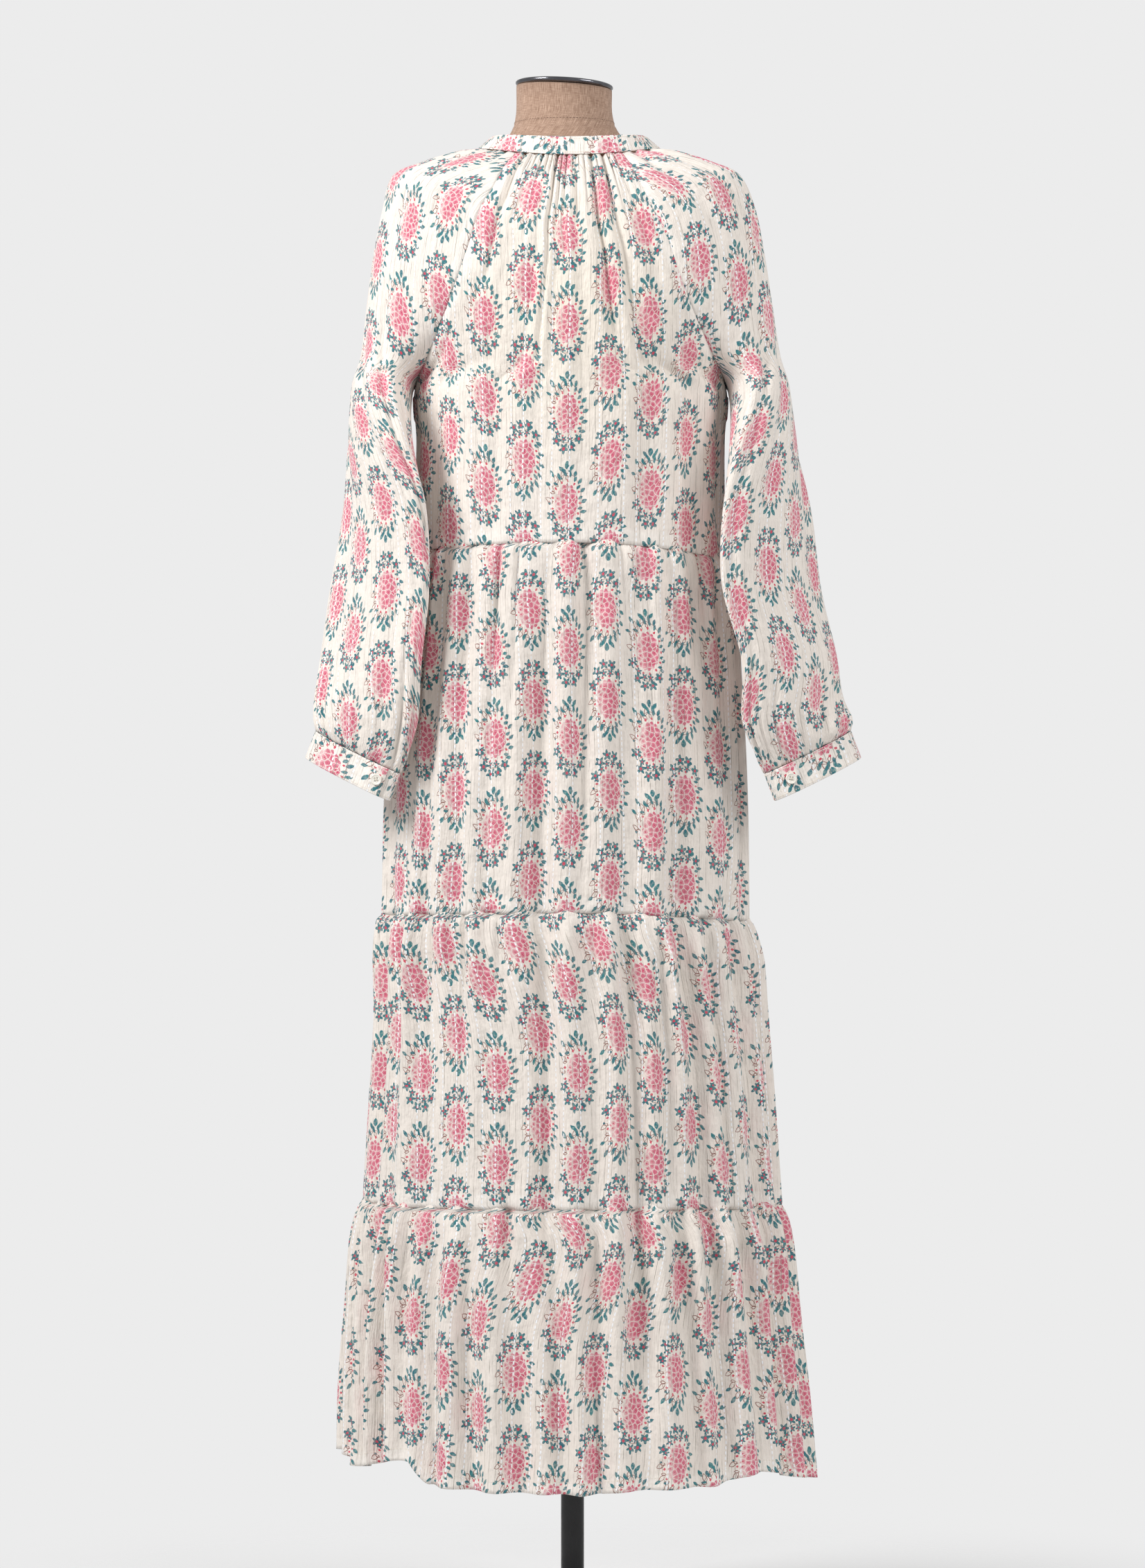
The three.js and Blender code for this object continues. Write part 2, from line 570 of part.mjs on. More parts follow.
// How far the long folds draw a sleeve in. They fade over two rows at each end.
function sleeveFoldsAt(name, row, t) {
  let sum = 0;
  for (const f of SLEEVE_FOLDS[name]) {
    const reach = eased(row, f.from, f.from + 2) * (1 - eased(row, f.to - 2, f.to));
    sum -= f.depth * reach * Math.exp(-(((t - f.at) / f.width) ** 2));
  }
  return sum;
}

function gatherSleeve(name) {
  const normals = sleeveNormals(name);
  return SLEEVE_GRIDS[name].map((row, j) =>
    row.map((p, i) => {
      const edge = i === 0 || i === SLEEVE_COLUMNS ? 0 : 1;
      const gather = (i % 2 ? 1 : -1) * SLEEVE_GATHER[j];
      const fold = sleeveFoldsAt(name, j, (2 * i) / SLEEVE_COLUMNS - 1);
      return p.clone().addScaledVector(normals[j][i], (gather + fold) * edge);
    }),
  );
}

// Upper back and upper front
add("back_bodice", clothWall(gatherPanel("back"), panelNormals("back")), PRINTED_COTTON);

const frontGrid = gatherPanel("front");
const frontNormals = panelNormals("front");

// The slit of the front neckline, a wedge from above the collar seam to its lower end. The prism that cuts it
// reaches through the front only.
const SLIT_PRISM = { above: 30, depth: 160, front: 200, curveSegments: 6 };
function slitOutline(grow, drop) {
  const top = NECK.frontZ + SLIT_PRISM.above;
  const bottom = NECK.frontZ - FRONT_SLIT.length - drop;
  const upper = FRONT_SLIT.top / 2 + grow;
  const lower = FRONT_SLIT.bottom / 2 + grow;
  const shape = new THREE.Shape();
  shape.moveTo(-upper, top);
  shape.lineTo(-lower, bottom + lower);
  shape.absarc(0, bottom + lower, lower, Math.PI, 2 * Math.PI, false);
  shape.lineTo(upper, top);
  shape.closePath();
  return shape;
}

function frontPrism(grow, drop) {
  const { depth, front, curveSegments } = SLIT_PRISM;
  const options = { depth, bevelEnabled: false, curveSegments };
  const geometry = new THREE.ExtrudeGeometry(slitOutline(grow, drop), options);
  geometry.rotateX(Math.PI / 2);
  geometry.translate(NECK.x, front, 0);
  return toManifold(geometry);
}
const slit = frontPrism(0, 0);
const wholeFront = toManifold(clothWall(frontGrid, frontNormals));
add("front_bodice", fromManifold(wholeFront.subtract(slit)), PRINTED_COTTON);

// The placket binds the slit: the front's own points moved out, kept only near the slit
const placketSheet = toManifold(
  wallSolid(
    offsetGrid(frontGrid, frontNormals, PLACKET.lift + PLACKET.wall),
    offsetGrid(frontGrid, frontNormals, PLACKET.lift),
  ),
);
const bound = placketSheet.intersect(frontPrism(PLACKET.width, PLACKET.width));
add("front_placket", fromManifold(bound.subtract(slit)), PRINTED_COTTON);

for (const name of Object.keys(SLEEVES)) {
  add(name, clothWall(gatherSleeve(name), sleeveNormals(name)), PRINTED_COTTON);
}

// The collar band stands on the neck seam, lies flatter over the shoulders and is open over the slit
function collarPoint(angle, h) {
  const [c, s] = [Math.cos(angle), Math.sin(angle)];
  const lean = mix(s < 0 ? COLLAR.backLean : COLLAR.frontLean, COLLAR.sideLean, c * c);
  const rise = Math.sqrt(COLLAR.height ** 2 - lean ** 2);
  return neckPoint(angle, lean * h, SEAM_GAP * 2 + rise * h);
}

function collar() {
  const open = Math.asin((FRONT_SLIT.top / 2 + 1) / NECK.half);
  const start = Math.PI / 2 + open;
  const angle = (i) => start + (i / COLLAR.columns) * (2 * Math.PI - 2 * open);
  const grid = [1, 0.5, 0].map((h) =>
    Array.from({ length: COLLAR.columns + 1 }, (_, i) => collarPoint(angle(i), h)),
  );
  const normals = normalsOf(grid, (j) => grid[j][0], (j) => grid[j][COLLAR.columns]);
  return wallSolid(offsetGrid(grid, normals, COLLAR.out), offsetGrid(grid, normals, COLLAR.out - BAND_WALL));
}
add("collar_band", collar(), PRINTED_COTTON);

// Cuffs: a band that closes over itself beside its button
const SMALL_STEP = 0.01; // to find the way round the cuff at a point
function cuffLoop(name, t, down, out) {
  const right = name === "sleeve_right";
  const turn = right ? 1 : -1;
  const last = SLEEVE_ROWS - 1;
  const p = sleevePoint(name, last, t);
  const ahead = sleevePoint(name, last, t + SMALL_STEP).sub(sleevePoint(name, last, t - SMALL_STEP));
  const axis = vec(turn * CUFF.outward, 0, -1).normalize();
  const normal = axis.clone().cross(ahead).normalize();
  return p.addScaledVector(axis, 2 * SEAM_GAP + down).addScaledVector(normal, out);
}

function cuff(name) {
  const heights = [0, CUFF.height / 2, CUFF.height];
  const steps = CUFF.columns + 2;
  const span = 2 + 2 * CUFF.overlap;
  const lap = (s) => (BAND_WALL + SEAM_GAP) * eased(s, 2 - CUFF.overlap, 2);
  const point = (i, h, out) => {
    const s = (i / steps) * span;
    return cuffLoop(name, CUFF_START[name] + s, h, out + lap(s));
  };
  const make = (out) => heights.map((h) => Array.from({ length: steps + 1 }, (_, i) => point(i, h, out)));
  return wallSolid(make(CUFF.out), make(CUFF.out - BAND_WALL));
}

// Buttons are turned discs with a rim and four holes
const BUTTON_SIDES = { rim: 16, hole: 5 };
function buttonGeometry() {
  const { radius, thick, rim, holeRadius, holeSpread } = BUTTON;
  const profile = [
    [0, 0],
    [radius - rim, 0],
    [radius, rim],
    [radius, thick - rim],
    [radius - rim, thick],
    [radius - 3 * rim, thick - rim],
    [0, thick - rim],
  ].map(([r, z]) => new THREE.Vector2(r, z));
  let solid = toManifold(new THREE.LatheGeometry(profile, BUTTON_SIDES.rim));
  for (let k = 0; k < 4; k++) {
    const hole = new THREE.CylinderGeometry(holeRadius, holeRadius, 3 * thick, BUTTON_SIDES.hole);
    const angle = Math.PI / 4 + (k * Math.PI) / 2;
    hole.translate(holeSpread * Math.cos(angle), 0, holeSpread * Math.sin(angle));
    solid = solid.subtract(toManifold(hole));
  }
  return fromManifold(solid);
}

for (const side of ["left", "right"]) {
  const name = "sleeve_" + side;
  add("cuff_" + side, cuff(name), PRINTED_COTTON);
  const button = add("cuff_button_" + side, buttonGeometry(), SHELL);
  const at = CUFF_START[name] + CUFF.overlap;
  const seatOut = CUFF.out + BAND_WALL + SEAM_GAP;
  const seat = cuffLoop(name, at, CUFF.height / 2, seatOut);
  const facing = cuffLoop(name, at, CUFF.height / 2, seatOut + 1).sub(seat);
  button.position.copy(seat).addScaledVector(facing, SEAM_GAP);
  button.quaternion.setFromUnitVectors(vec(0, 1, 0), facing.normalize());
}

// How much higher the hem hangs at a share of the round
function hemLift(share) {
  const at = share - Math.floor(share);
  const along = fromLeft(at);
  const next = Math.max(1, HEM_LIFTS.findIndex((h) => h.at >= along));
  const [a, b] = [HEM_LIFTS[next - 1], HEM_LIFTS[next]];
  return mix(a.lift, b.lift, smooth((along - a.at) / (b.at - a.at)));
}

// A point of tier k on ring j, at a share of the round
function tierPoint(k, j, share) {
  const { rings } = TIERS[k];
  const v = (rings[0].z - rings[j].z) / (rings[0].z - rings.at(-1).z);
  const p = bodyPoint(rings[j], share * 2 * Math.PI, tierWave(k, share, v));
  if (k === TIERS.length - 1) p.z += hemLift(share) * v ** 3;
  return p;
}

// The skirt's tiers, each a back and a front half with side seams
const NORMAL_STEP = 0.006; // the share of the round past a side seam at which the next half is looked at
function tierHalf(k, back) {
  const tier = TIERS[k];
  const count = (tier.folds / 2) * GATHER_STEPS;
  const firstFold = back ? tier.folds / 2 : 0;
  const share = (i) => {
    const fold = Math.floor(i / GATHER_STEPS);
    const edges = EDGES[k];
    const a = edges[firstFold + fold];
    const b = edges[Math.min(firstFold + fold + 1, tier.folds)];
    return mix(a, b, (i % GATHER_STEPS) / GATHER_STEPS);
  };
  const row = (j) => Array.from({ length: count + 1 }, (_, i) => tierPoint(k, j, share(i)));
  const grid = tier.rings.map((_, j) => row(j));
  const beyond = (i, step) => (j) => tierPoint(k, j, share(i) + step);
  return clothWall(grid, normalsOf(grid, beyond(0, -NORMAL_STEP), beyond(count, NORMAL_STEP)));
}
TIERS.forEach((tier, k) => {
  add(tier.name + "_back", tierHalf(k, true), PRINTED_COTTON);
  add(tier.name + "_front", tierHalf(k, false), PRINTED_COTTON);
});

// The dress form: rings joined into one closed solid, with its neck's top sloped
function formPoint(ring, i) {
  const angle = (i / FORM_SIDES) * 2 * Math.PI;
  const [c, s] = [Math.cos(angle), Math.sin(angle)];
  const slope = ring === FORM.at(-1) ? -NECK_TILT * ring.half * c : 0;
  const z = mix(ring.sideZ, s < 0 ? ring.backZ : ring.frontZ, s * s);
  return vec(ring.x + ring.half * c, (s < 0 ? ring.back : ring.front) * s, z + slope);
}

function formGeometry() {
  const positions = [];
  const faces = [];
  FORM.forEach((ring) => {
    for (let i = 0; i < FORM_SIDES; i++) {
      positions.push(...formPoint(ring, i).toArray());
    }
  });
  const id = (j, i) => j * FORM_SIDES + (i % FORM_SIDES);
  for (let j = 0; j < FORM.length - 1; j++) {
    for (let i = 0; i < FORM_SIDES; i++) {
      faces.push(id(j, i), id(j, i + 1), id(j + 1, i + 1), id(j, i), id(j + 1, i + 1), id(j + 1, i));
    }
  }
  const [low, high] = [FORM[0], FORM.at(-1)];
  positions.push(low.x, 0, low.sideZ, high.x, 0, high.sideZ);
  const bottom = FORM.length * FORM_SIDES;
  for (let i = 0; i < FORM_SIDES; i++) {
    faces.push(bottom, id(0, i + 1), id(0, i));
    faces.push(bottom + 1, id(FORM.length - 1, i), id(FORM.length - 1, i + 1));
  }
  const geometry = new THREE.BufferGeometry();
  geometry.setAttribute("position", new THREE.Float32BufferAttribute(positions, 3));
  geometry.setIndex(faces);
  return geometry;
}
add("form_torso", formGeometry(), LINEN);

function lathe(profile, sides) {
  const geometry = new THREE.LatheGeometry(profile.map(([r, z]) => new THREE.Vector2(r, z)), sides);
  return geometry.rotateX(Math.PI / 2);
}

// The neck's metal cap, a shallow dish with a lip, on the sloped top
const neckTop = FORM.at(-1);
const cap = add(
  "neck_cap",
  lathe(
    [
      [0, 0],
      [CAP.radius - CAP.lip, 0],
      [CAP.radius, CAP.height * 0.3],
      [CAP.radius, CAP.height * 0.75],
      [CAP.radius - CAP.lip, CAP.height],
      [CAP.radius * 0.6, CAP.height + CAP.dome * 0.7],
      [0, CAP.height + CAP.dome],
    ],
    ROUND_SIDES.cap,
  ),
  CHROME,
);
cap.rotation.y = Math.atan(NECK_TILT);
cap.position.set(neckTop.x, 0, neckTop.sideZ + 2 * SEAM_GAP);

// The stand: a flange under the form, the pole and a flat round base
const flangeTop = FORM[0].sideZ - SEAM_GAP;
add(
  "form_flange",
  lathe(
    [
      [0, flangeTop - FLANGE.drop],
      [FLANGE.neck, flangeTop - FLANGE.drop],
      [FLANGE.neck, flangeTop - FLANGE.thick * 2],
      [FLANGE.radius, flangeTop - FLANGE.thick],
      [FLANGE.radius, flangeTop],
      [0, flangeTop],
    ],
    ROUND_SIDES.small,
  ),
  BLACK_STEEL,
);
const poleBottom = BASE.hubHeight + SEAM_GAP;
const poleTop = flangeTop - FLANGE.drop - SEAM_GAP;
add(
  "stand_pole",
  lathe(
    [
      [0, poleBottom],
      [POLE_RADIUS, poleBottom],
      [POLE_RADIUS, poleTop],
      [0, poleTop],
    ],
    ROUND_SIDES.small,
  ),
  BLACK_STEEL,
);
add(
  "stand_base",
  lathe(
    [
      [0, 0],
      [BASE.radius, 0],
      [BASE.radius, BASE.rim],
      [BASE.radius - BASE.bevel, BASE.thick],
      [BASE.hub, BASE.thick + 1],
      [BASE.hubNeck, BASE.hubHeight * 0.55],
      [BASE.hubTop, BASE.hubHeight],
      [0, BASE.hubHeight],
    ],
    ROUND_SIDES.base,
  ),
  BLACK_STEEL,
);

export default dress;
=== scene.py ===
# %% [markdown]
# # A tiered cotton dress on its dress form
# The real object is a long dress of thin printed cotton. It hangs empty on a linen dress form that stands
# on a black pole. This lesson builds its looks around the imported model, which fixes every size. The
# tables below are in millimetres, and every mesh is made in metres.

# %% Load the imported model
import math

import bmesh
import bpy
import numpy as np
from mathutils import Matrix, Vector


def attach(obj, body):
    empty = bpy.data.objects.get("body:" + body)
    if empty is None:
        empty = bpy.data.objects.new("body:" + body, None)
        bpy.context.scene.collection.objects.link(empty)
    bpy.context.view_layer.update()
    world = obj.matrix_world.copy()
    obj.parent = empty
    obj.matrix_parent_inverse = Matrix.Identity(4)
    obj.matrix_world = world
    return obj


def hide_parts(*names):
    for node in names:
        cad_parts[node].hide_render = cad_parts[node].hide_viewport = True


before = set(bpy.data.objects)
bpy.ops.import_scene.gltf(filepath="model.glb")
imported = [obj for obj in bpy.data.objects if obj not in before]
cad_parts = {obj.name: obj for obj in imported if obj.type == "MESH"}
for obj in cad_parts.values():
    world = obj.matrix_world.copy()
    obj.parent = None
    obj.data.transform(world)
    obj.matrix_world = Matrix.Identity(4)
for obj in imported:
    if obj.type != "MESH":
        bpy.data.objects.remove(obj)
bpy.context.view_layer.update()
MM = 0.001

# %% [markdown]
# ## The camera
# The photograph was taken from behind the dress, from far away and at the height of its middle, so that its
# upright lines stay upright. A long lens five metres away gives the same view.

# %% Camera
CAMERA_DISTANCE = 5.0
CAMERA_HEIGHT = 0.8816
FRAME_HEIGHT = 1.6248  # how much of the dress's plane the photograph shows from top to bottom
SENSOR = 36.0

camera_data = bpy.data.cameras.new("camera")
camera_data.sensor_width = SENSOR
camera_data.lens = SENSOR * CAMERA_DISTANCE / FRAME_HEIGHT
camera = bpy.data.objects.new("camera", camera_data)
bpy.context.scene.collection.objects.link(camera)
camera.location = (0, -CAMERA_DISTANCE, CAMERA_HEIGHT)
camera.rotation_euler = (math.pi / 2, 0, 0)
bpy.context.scene.camera = camera
bpy.context.scene.view_settings.view_transform = "Standard"
print("lens:", round(camera_data.lens, 1), "mm")

# %% [markdown]
# ## Light and colour
# The studio is white on all sides, so the shadows in the folds are soft. The background is a little
# brighter than the light that it gives. A large softbox high on the left gives the folds a lit and a
# shaded side and leaves the hem darker than the shoulders, and a weaker one on the right opens the shade.


# %% Colours from hex values
def colour(hex_value):
    """An sRGB hex value as the linear colour that Blender works with."""
    parts = [int(hex_value[i : i + 2], 16) / 255 for i in (1, 3, 5)]
    linear = [p / 12.92 if p <= 0.04045 else ((p + 0.055) / 1.055) ** 2.4 for p in parts]
    return (*linear, 1.0)


def node(tree, kind, inputs=None, **settings):
    """Adds a node. settings are its properties, and inputs has each socket's value or the link to it."""
    made = tree.nodes.new(kind)
    for key, value in settings.items():
        setattr(made, key, value)
    for key, value in (inputs or {}).items():
        if isinstance(value, bpy.types.NodeSocket):
            tree.links.new(value, made.inputs[key])
        else:
            made.inputs[key].default_value = value
    return made


# %% Studio
STUDIO_WHITE = "#ECECEC"
WORLD_LIGHT = 0.6  # of the background's own brightness
SOFTBOXES = [
    # name, place, size in metres, watts
    ("softbox_left", (-2.0, -1.25, 2.6), 0.9, 66),
    ("softbox_right", (2.4, -1.7, 2.5), 1.4, 42),
]

world = bpy.data.worlds.new("white_studio")
bpy.context.scene.world = world
world.use_nodes = True
world.node_tree.nodes["Background"].inputs["Color"].default_value = colour(STUDIO_WHITE)
seen = node(world.node_tree, "ShaderNodeLightPath").outputs["Is Camera Ray"]
strength = node(world.node_tree, "ShaderNodeMapRange", {"Value": seen, "To Min": WORLD_LIGHT, "To Max": 1.0})
world.node_tree.links.new(strength.outputs[0], world.node_tree.nodes["Background"].inputs["Strength"])

for name, place, size, watts in SOFTBOXES:
    lamp_data = bpy.data.lights.new(name, "AREA")
    lamp_data.size = size
    lamp_data.energy = watts
    lamp = bpy.data.objects.new(name, lamp_data)
    bpy.context.scene.collection.objects.link(lamp)
    lamp.location = place
    lamp.rotation_euler = (Vector((0, 0, 0.95)) - Vector(place)).to_track_quat("-Z", "Y").to_euler()
print("softboxes:", len(SOFTBOXES))

# %% [markdown]
# ## Shapes that both the solids and the cloth follow
# The dress was draped ring by ring. Each ring is a pair of half ellipses, with its own depth at the back
# and at the front, and the cloth is drawn smoothly through the rings. The same tables shape the solids of
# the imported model, so that the cloth lies where they are.

# %% Tables of the bodice and the sleeves
NECK = {
    "x": -3.5,
    "y": -2,
    "half": 94.5,
    "back": 64,
    "front": 78,
    "back_z": 1525,
    "side_z": 1538,
    "front_z": 1482,
}
YOKE = [
    # side z, left, right, back y, back z, front y, front z, seam, pull, wrap
    (1532.5, -122, 113, -86, 1503, 90, 1460, 66, 0, None),
    (1522, -158, 148, -99, 1480, 106, 1438, 76, 0, None),
    (1509, -187, 175, -107, 1452, 117, 1414, 89, 0, None),
    (1475, -197, 190, -112, 1420, 124, 1388, 101, 0, None),
    (1430, -206, 199, -114, 1382, 130, 1356, 114, 0, None),
    (1378, -213, 207, -115, 1342, 134, 1326, 130, 0.12, 82),
    (1326, -219, 215, -115, 1309, 135, 1302, 148, 0.4, 126),
]
BODICE = [
    # z, left z, right z, x, half, back, front
    (1284, 1288, 1288, -2, 162, 115, 136),
    (1235, 1236, 1236, -2, 160, 116, 135),
    (1180, 1180, 1177, -3, 161, 117, 133),
    (1126, 1121, 1112, -3, 163, 118, 130),
]
SLEEVES = {
    # x, y, z, long, short, yaw, rise
    "left": [
        (-199, -26, 1232, 82, 29, 16, 0),
        (-193, -42, 1165, 84, 24, 29, 0),
        (-197, -49, 1085, 84, 21, 38, 0),
        (-206, -56, 1012, 76, 23, 42, 4),
        (-211, -64, 960, 66, 23, 52, 12),
        (-217, -69, 930, 56, 17, 64, 20),
        (-219, -70, 915, 52, 12, 68, 22),
    ],
    "right": [
        (198, -25, 1232, 82, 30, 17, 0),
        (200, -39, 1165, 84, 26, 31, 0),
        (204, -48, 1085, 84, 24, 37, 0),
        (222, -54, 1012, 76, 24, 39, 4),
        (226, -62, 960, 66, 24, 50, 12),
        (237, -68, 930, 57, 18, 64, 20),
        (240, -69, 915, 53, 12, 68, 22),
    ],
}
UNDERARM = {"long": 80, "short": 32, "yaw": 4, "clear": 1.3, "lift": 2}
SEAM_GAP = 0.3
UNDERARM_ROW = 8  # the first row of rings under the arms
print("rings:", 1 + len(YOKE) + len(BODICE), "on the bodice and", 9 + len(SLEEVES["left"]), "on a sleeve")


# %% Helpers for curves and folds
def smooth(t):
    """0 to 1 with a soft start and end."""
    t = np.clip(t, 0, 1)
    return t * t * (3 - 2 * t)


def mix(a, b, t):
    return a + (b - a) * t


def chance(index, seed):
    """A fixed number from 0 to 1 for each index and seed, so that the folds are uneven but never change."""
    s = np.sin(np.asarray(index) * 12.9898 + seed * 78.233) * 43758.5453
    return s - np.floor(s)


def crease(across, along, at, width, depth, start, end, fade=1.0, drift=0.0):
    """One valley of a fold. across and along are the cloth's own coordinates, and drift slants the valley."""
    centre = at + drift * (along - start)
    reach = smooth((along - start) / fade) * smooth((end - along) / fade)
    return -depth * reach * np.exp(-(((across - centre) / width) ** 2))


def uneven_edges(count, seed, low=0.75, high=1.25):
    """Where each of a row of gathers starts, as shares from 0 to 1."""
    widths = low + (high - low) * chance(np.arange(count), seed)
    return np.concatenate([[0], np.cumsum(widths) / widths.sum()])


def gather_phase(share, edges):
    """Which gather each share lies on, and how far across it, from 0 to 1."""
    index = np.clip(np.searchsorted(edges, share, side="right") - 1, 0, len(edges) - 2)
    return index, (share - edges[index]) / (edges[index + 1] - edges[index])


def pinched(phase, sharp=1.5):
    """A gather's shape from -1 to 1, with a round ridge between two narrow valleys."""
    return 1 - 2 * (1 - np.sin(np.pi * phase)) ** sharp


def between_rows(rows, steps):
    """Draws smooth lines down through rings of points, with steps[j] new rows between ring j and the next."""
    rows = np.asarray(rows, float)
    slope = np.empty_like(rows)
    slope[1:-1] = (rows[2:] - rows[:-2]) / 2
    slope[0] = rows[1] - rows[0]
    slope[-1] = rows[-1] - rows[-2]
    made, places = [], []
    for j, count in enumerate(steps):
        last = j == len(rows) - 2
        for k in range(count + last):
            t = k / count
            made.append(
                (2 * t**3 - 3 * t**2 + 1) * rows[j]
                + (t**3 - 2 * t**2 + t) * slope[j]
                + (3 * t**2 - 2 * t**3) * rows[j + 1]
                + (t**3 - t**2) * slope[j + 1]
            )
            places.append(j + t)
    return np.array(made), np.array(places)


def normals_of(points, before=None, after=None):
    """Outward normals of a grid. before and after are the columns past its two sides."""
    parts = [points if before is None else np.concatenate([before[:, None], points], axis=1)]
    if after is not None:
        parts.append(after[:, None])
    wide = np.concatenate(parts, axis=1)
    across = np.gradient(wide, axis=1)
    down = np.gradient(wide, axis=0)
    normal = np.cross(down, across)
    first = 0 if before is None else 1
    normal = normal[:, first : first + points.shape[1]]
    return normal / np.maximum(np.linalg.norm(normal, axis=2, keepdims=True), 1e-9)


print("smooth(0.5) is", float(smooth(0.5)))


# %% Points of the neck seam, the yoke and the body
def neck_point(angle, lean=0.0, lift=0.0):
    """A point of the neck seam. Angle 0 is the right side, and it runs counter-clockwise seen from above."""
    c, s = np.cos(angle), np.sin(angle)
    deep = np.where(s < 0, NECK["back"], NECK["front"])
    z = mix(NECK["side_z"], np.where(s < 0, NECK["back_z"], NECK["front_z"]), s * s)
    return np.stack([NECK["x"] + (NECK["half"] - lean) * c, NECK["y"] + (deep - lean) * s, z + lift], axis=-1)


NECK_BACK_SEAM = math.acos(55 / NECK["half"])  # where the raglan seams meet the collar, 55 mm from its middle
NECK_FRONT_SEAM = math.acos(60 / NECK["half"])


def on_arc(a, middle, b, half, t):
    """Points of the piece of an ellipse from a through middle to b, at t from -1 to 1."""
    side = (b - a) / (2 * math.sin(half))
    out = (middle - (a + b) / 2) / (1 - math.cos(half))
    return middle - out + np.outer(np.cos(t * half), out) + np.outer(np.sin(t * half), side)


def yoke_ring(row):
    """The four meeting points of a yoke ring and how far its panels and sleeves wrap."""
    side_z, left, right, back_y, back_z, front_y, front_z, seam, pull, wrap = row
    x, half = (left + right) / 2, (right - left) / 2
    share = seam / half
    depth = math.sqrt(1 - share * share) * (1 - pull)

    def seam_at(side, deep, z):
        return np.array([x + side * seam, deep * depth, mix(side_z, z, 1 - share * share)])

    return {
        "left": np.array([left, 0, side_z]),
        "right": np.array([right, 0, side_z]),
        "back": np.array([x, back_y, back_z]),
        "front": np.array([x, front_y, front_z]),
        "back_left": seam_at(-1, back_y, back_z),
        "back_right": seam_at(1, back_y, back_z),
        "front_left": seam_at(-1, front_y, front_z),
        "front_right": seam_at(1, front_y, front_z),
        "sleeve_half": math.radians(wrap) if wrap else math.acos(share),
        "panel_half": math.asin(share),
    }


RINGS = [yoke_ring(row) for row in YOKE]


def body_point(ring, angle, out=0.0):
    """Points of a body ring at each angle, moved outwards by out. The side seams are at 0 and pi."""
    z, left_z, right_z, x, half, back, front = ring
    c, s = np.cos(angle), np.sin(angle)
    deep = np.where(s < 0, back, front)
    height = mix(z, np.where(c > 0, right_z, left_z), c * c)
    size = np.hypot(c / half, s / deep)
    return np.stack([x + half * c + c / half / size * out, deep * s + s / deep / size * out, height], axis=-1)


def panel_row(side, row, t):
    """A row of the back or front panel, at t from -1 to 1 counter-clockwise."""
    back = side == "back"
    middle = -math.pi / 2 if back else math.pi / 2
    if row == 0:
        return neck_point(middle + t * (math.pi / 2 - (NECK_BACK_SEAM if back else NECK_FRONT_SEAM)))
    if row < UNDERARM_ROW:
        r = RINGS[row - 1]
        ends = ("back_left", "back", "back_right") if back else ("front_right", "front", "front_left")
        return on_arc(*[r[e] for e in ends], r["panel_half"], t)
    return body_point(BODICE[row - UNDERARM_ROW], middle + t * math.pi / 2)


def sleeve_axes(turn, long, short, yaw, rise):
    """The two half axes of a sleeve's ring under the arm, turned by its yaw."""
    yaw = math.radians(yaw)
    flat = math.sqrt(long * long - rise * rise)
    out = np.array([turn * math.cos(yaw), -math.sin(yaw), 0]) * short
    side = np.array([math.sin(yaw) * flat, turn * math.cos(yaw) * flat, turn * rise])
    return out, side


def sleeve_row(side, row, t):
    """A row of a sleeve, at t from -1 to 1 counter-clockwise: the right one from back to front."""
    right = side == "right"
    turn = 1 if right else -1
    t = np.asarray(t, float)
    if row == 0:
        start, end = -NECK_BACK_SEAM, NECK_FRONT_SEAM
        if not right:
            start, end = math.pi - NECK_FRONT_SEAM, math.pi + NECK_BACK_SEAM
        return neck_point(mix(start, end, (t + 1) / 2))
    if row < UNDERARM_ROW:
        r = RINGS[row - 1]
        ends = ("back_right", "right", "front_right") if right else ("front_left", "left", "back_left")
        return on_arc(*[r[e] for e in ends], r["sleeve_half"], t)
    if row == UNDERARM_ROW:
        out, along = sleeve_axes(turn, UNDERARM["long"], UNDERARM["short"], UNDERARM["yaw"], 0)
        centre = body_point(BODICE[0], 0.0 if right else math.pi) + out + [turn * UNDERARM["clear"], 0, 0]
        out = out + [0, 0, UNDERARM["lift"]]
    else:
        x, y, z, long, short, yaw, rise = SLEEVES[side][row - UNDERARM_ROW - 1]
        out, along = sleeve_axes(turn, long, short, yaw, rise)
        centre = np.array([x, y, z])
    return centre + np.outer(np.cos(t * math.pi), out) + np.outer(np.sin(t * math.pi), along)


print("raglan seams meet the collar at", round(math.degrees(NECK_BACK_SEAM), 1), "degrees")

# %% [markdown]
# ## From points to cloth
# A piece of cloth is a grid of points: rows run down it and columns run round it. Its map tells the print
# where each point lies on the flat cloth, in metres. It is measured along the folded cloth itself, so the
# print is squeezed where the cloth turns away, as it is on real gathers. The Solidify modifier gives the
# grid the thickness of thin cotton.

# %% Make a cloth piece
CLOTH = 0.5  # a little thicker than real voile, which is too thin to bake


def lengths_along(points, axis):
    """The length of the cloth from its first row or column to each point."""
    step = np.linalg.norm(np.diff(points, axis=axis), axis=2)
    start = np.zeros_like(step[:1] if axis == 0 else step[:, :1])
    return np.concatenate([start, np.cumsum(step, axis=axis)], axis=axis)


def cloth_map(points, widths, u_shift=0.0, v_shift=0.0):
    """Where each point lies on the flat cloth. widths is the flat width of each row, in millimetres."""
    across = lengths_along(points, 1)
    share = across / across[:, -1:]
    u = (share - 0.5) * np.asarray(widths)[:, None] + u_shift
    v = -lengths_along(points, 0) + v_shift
    return np.stack([u, v], axis=-1) * MM


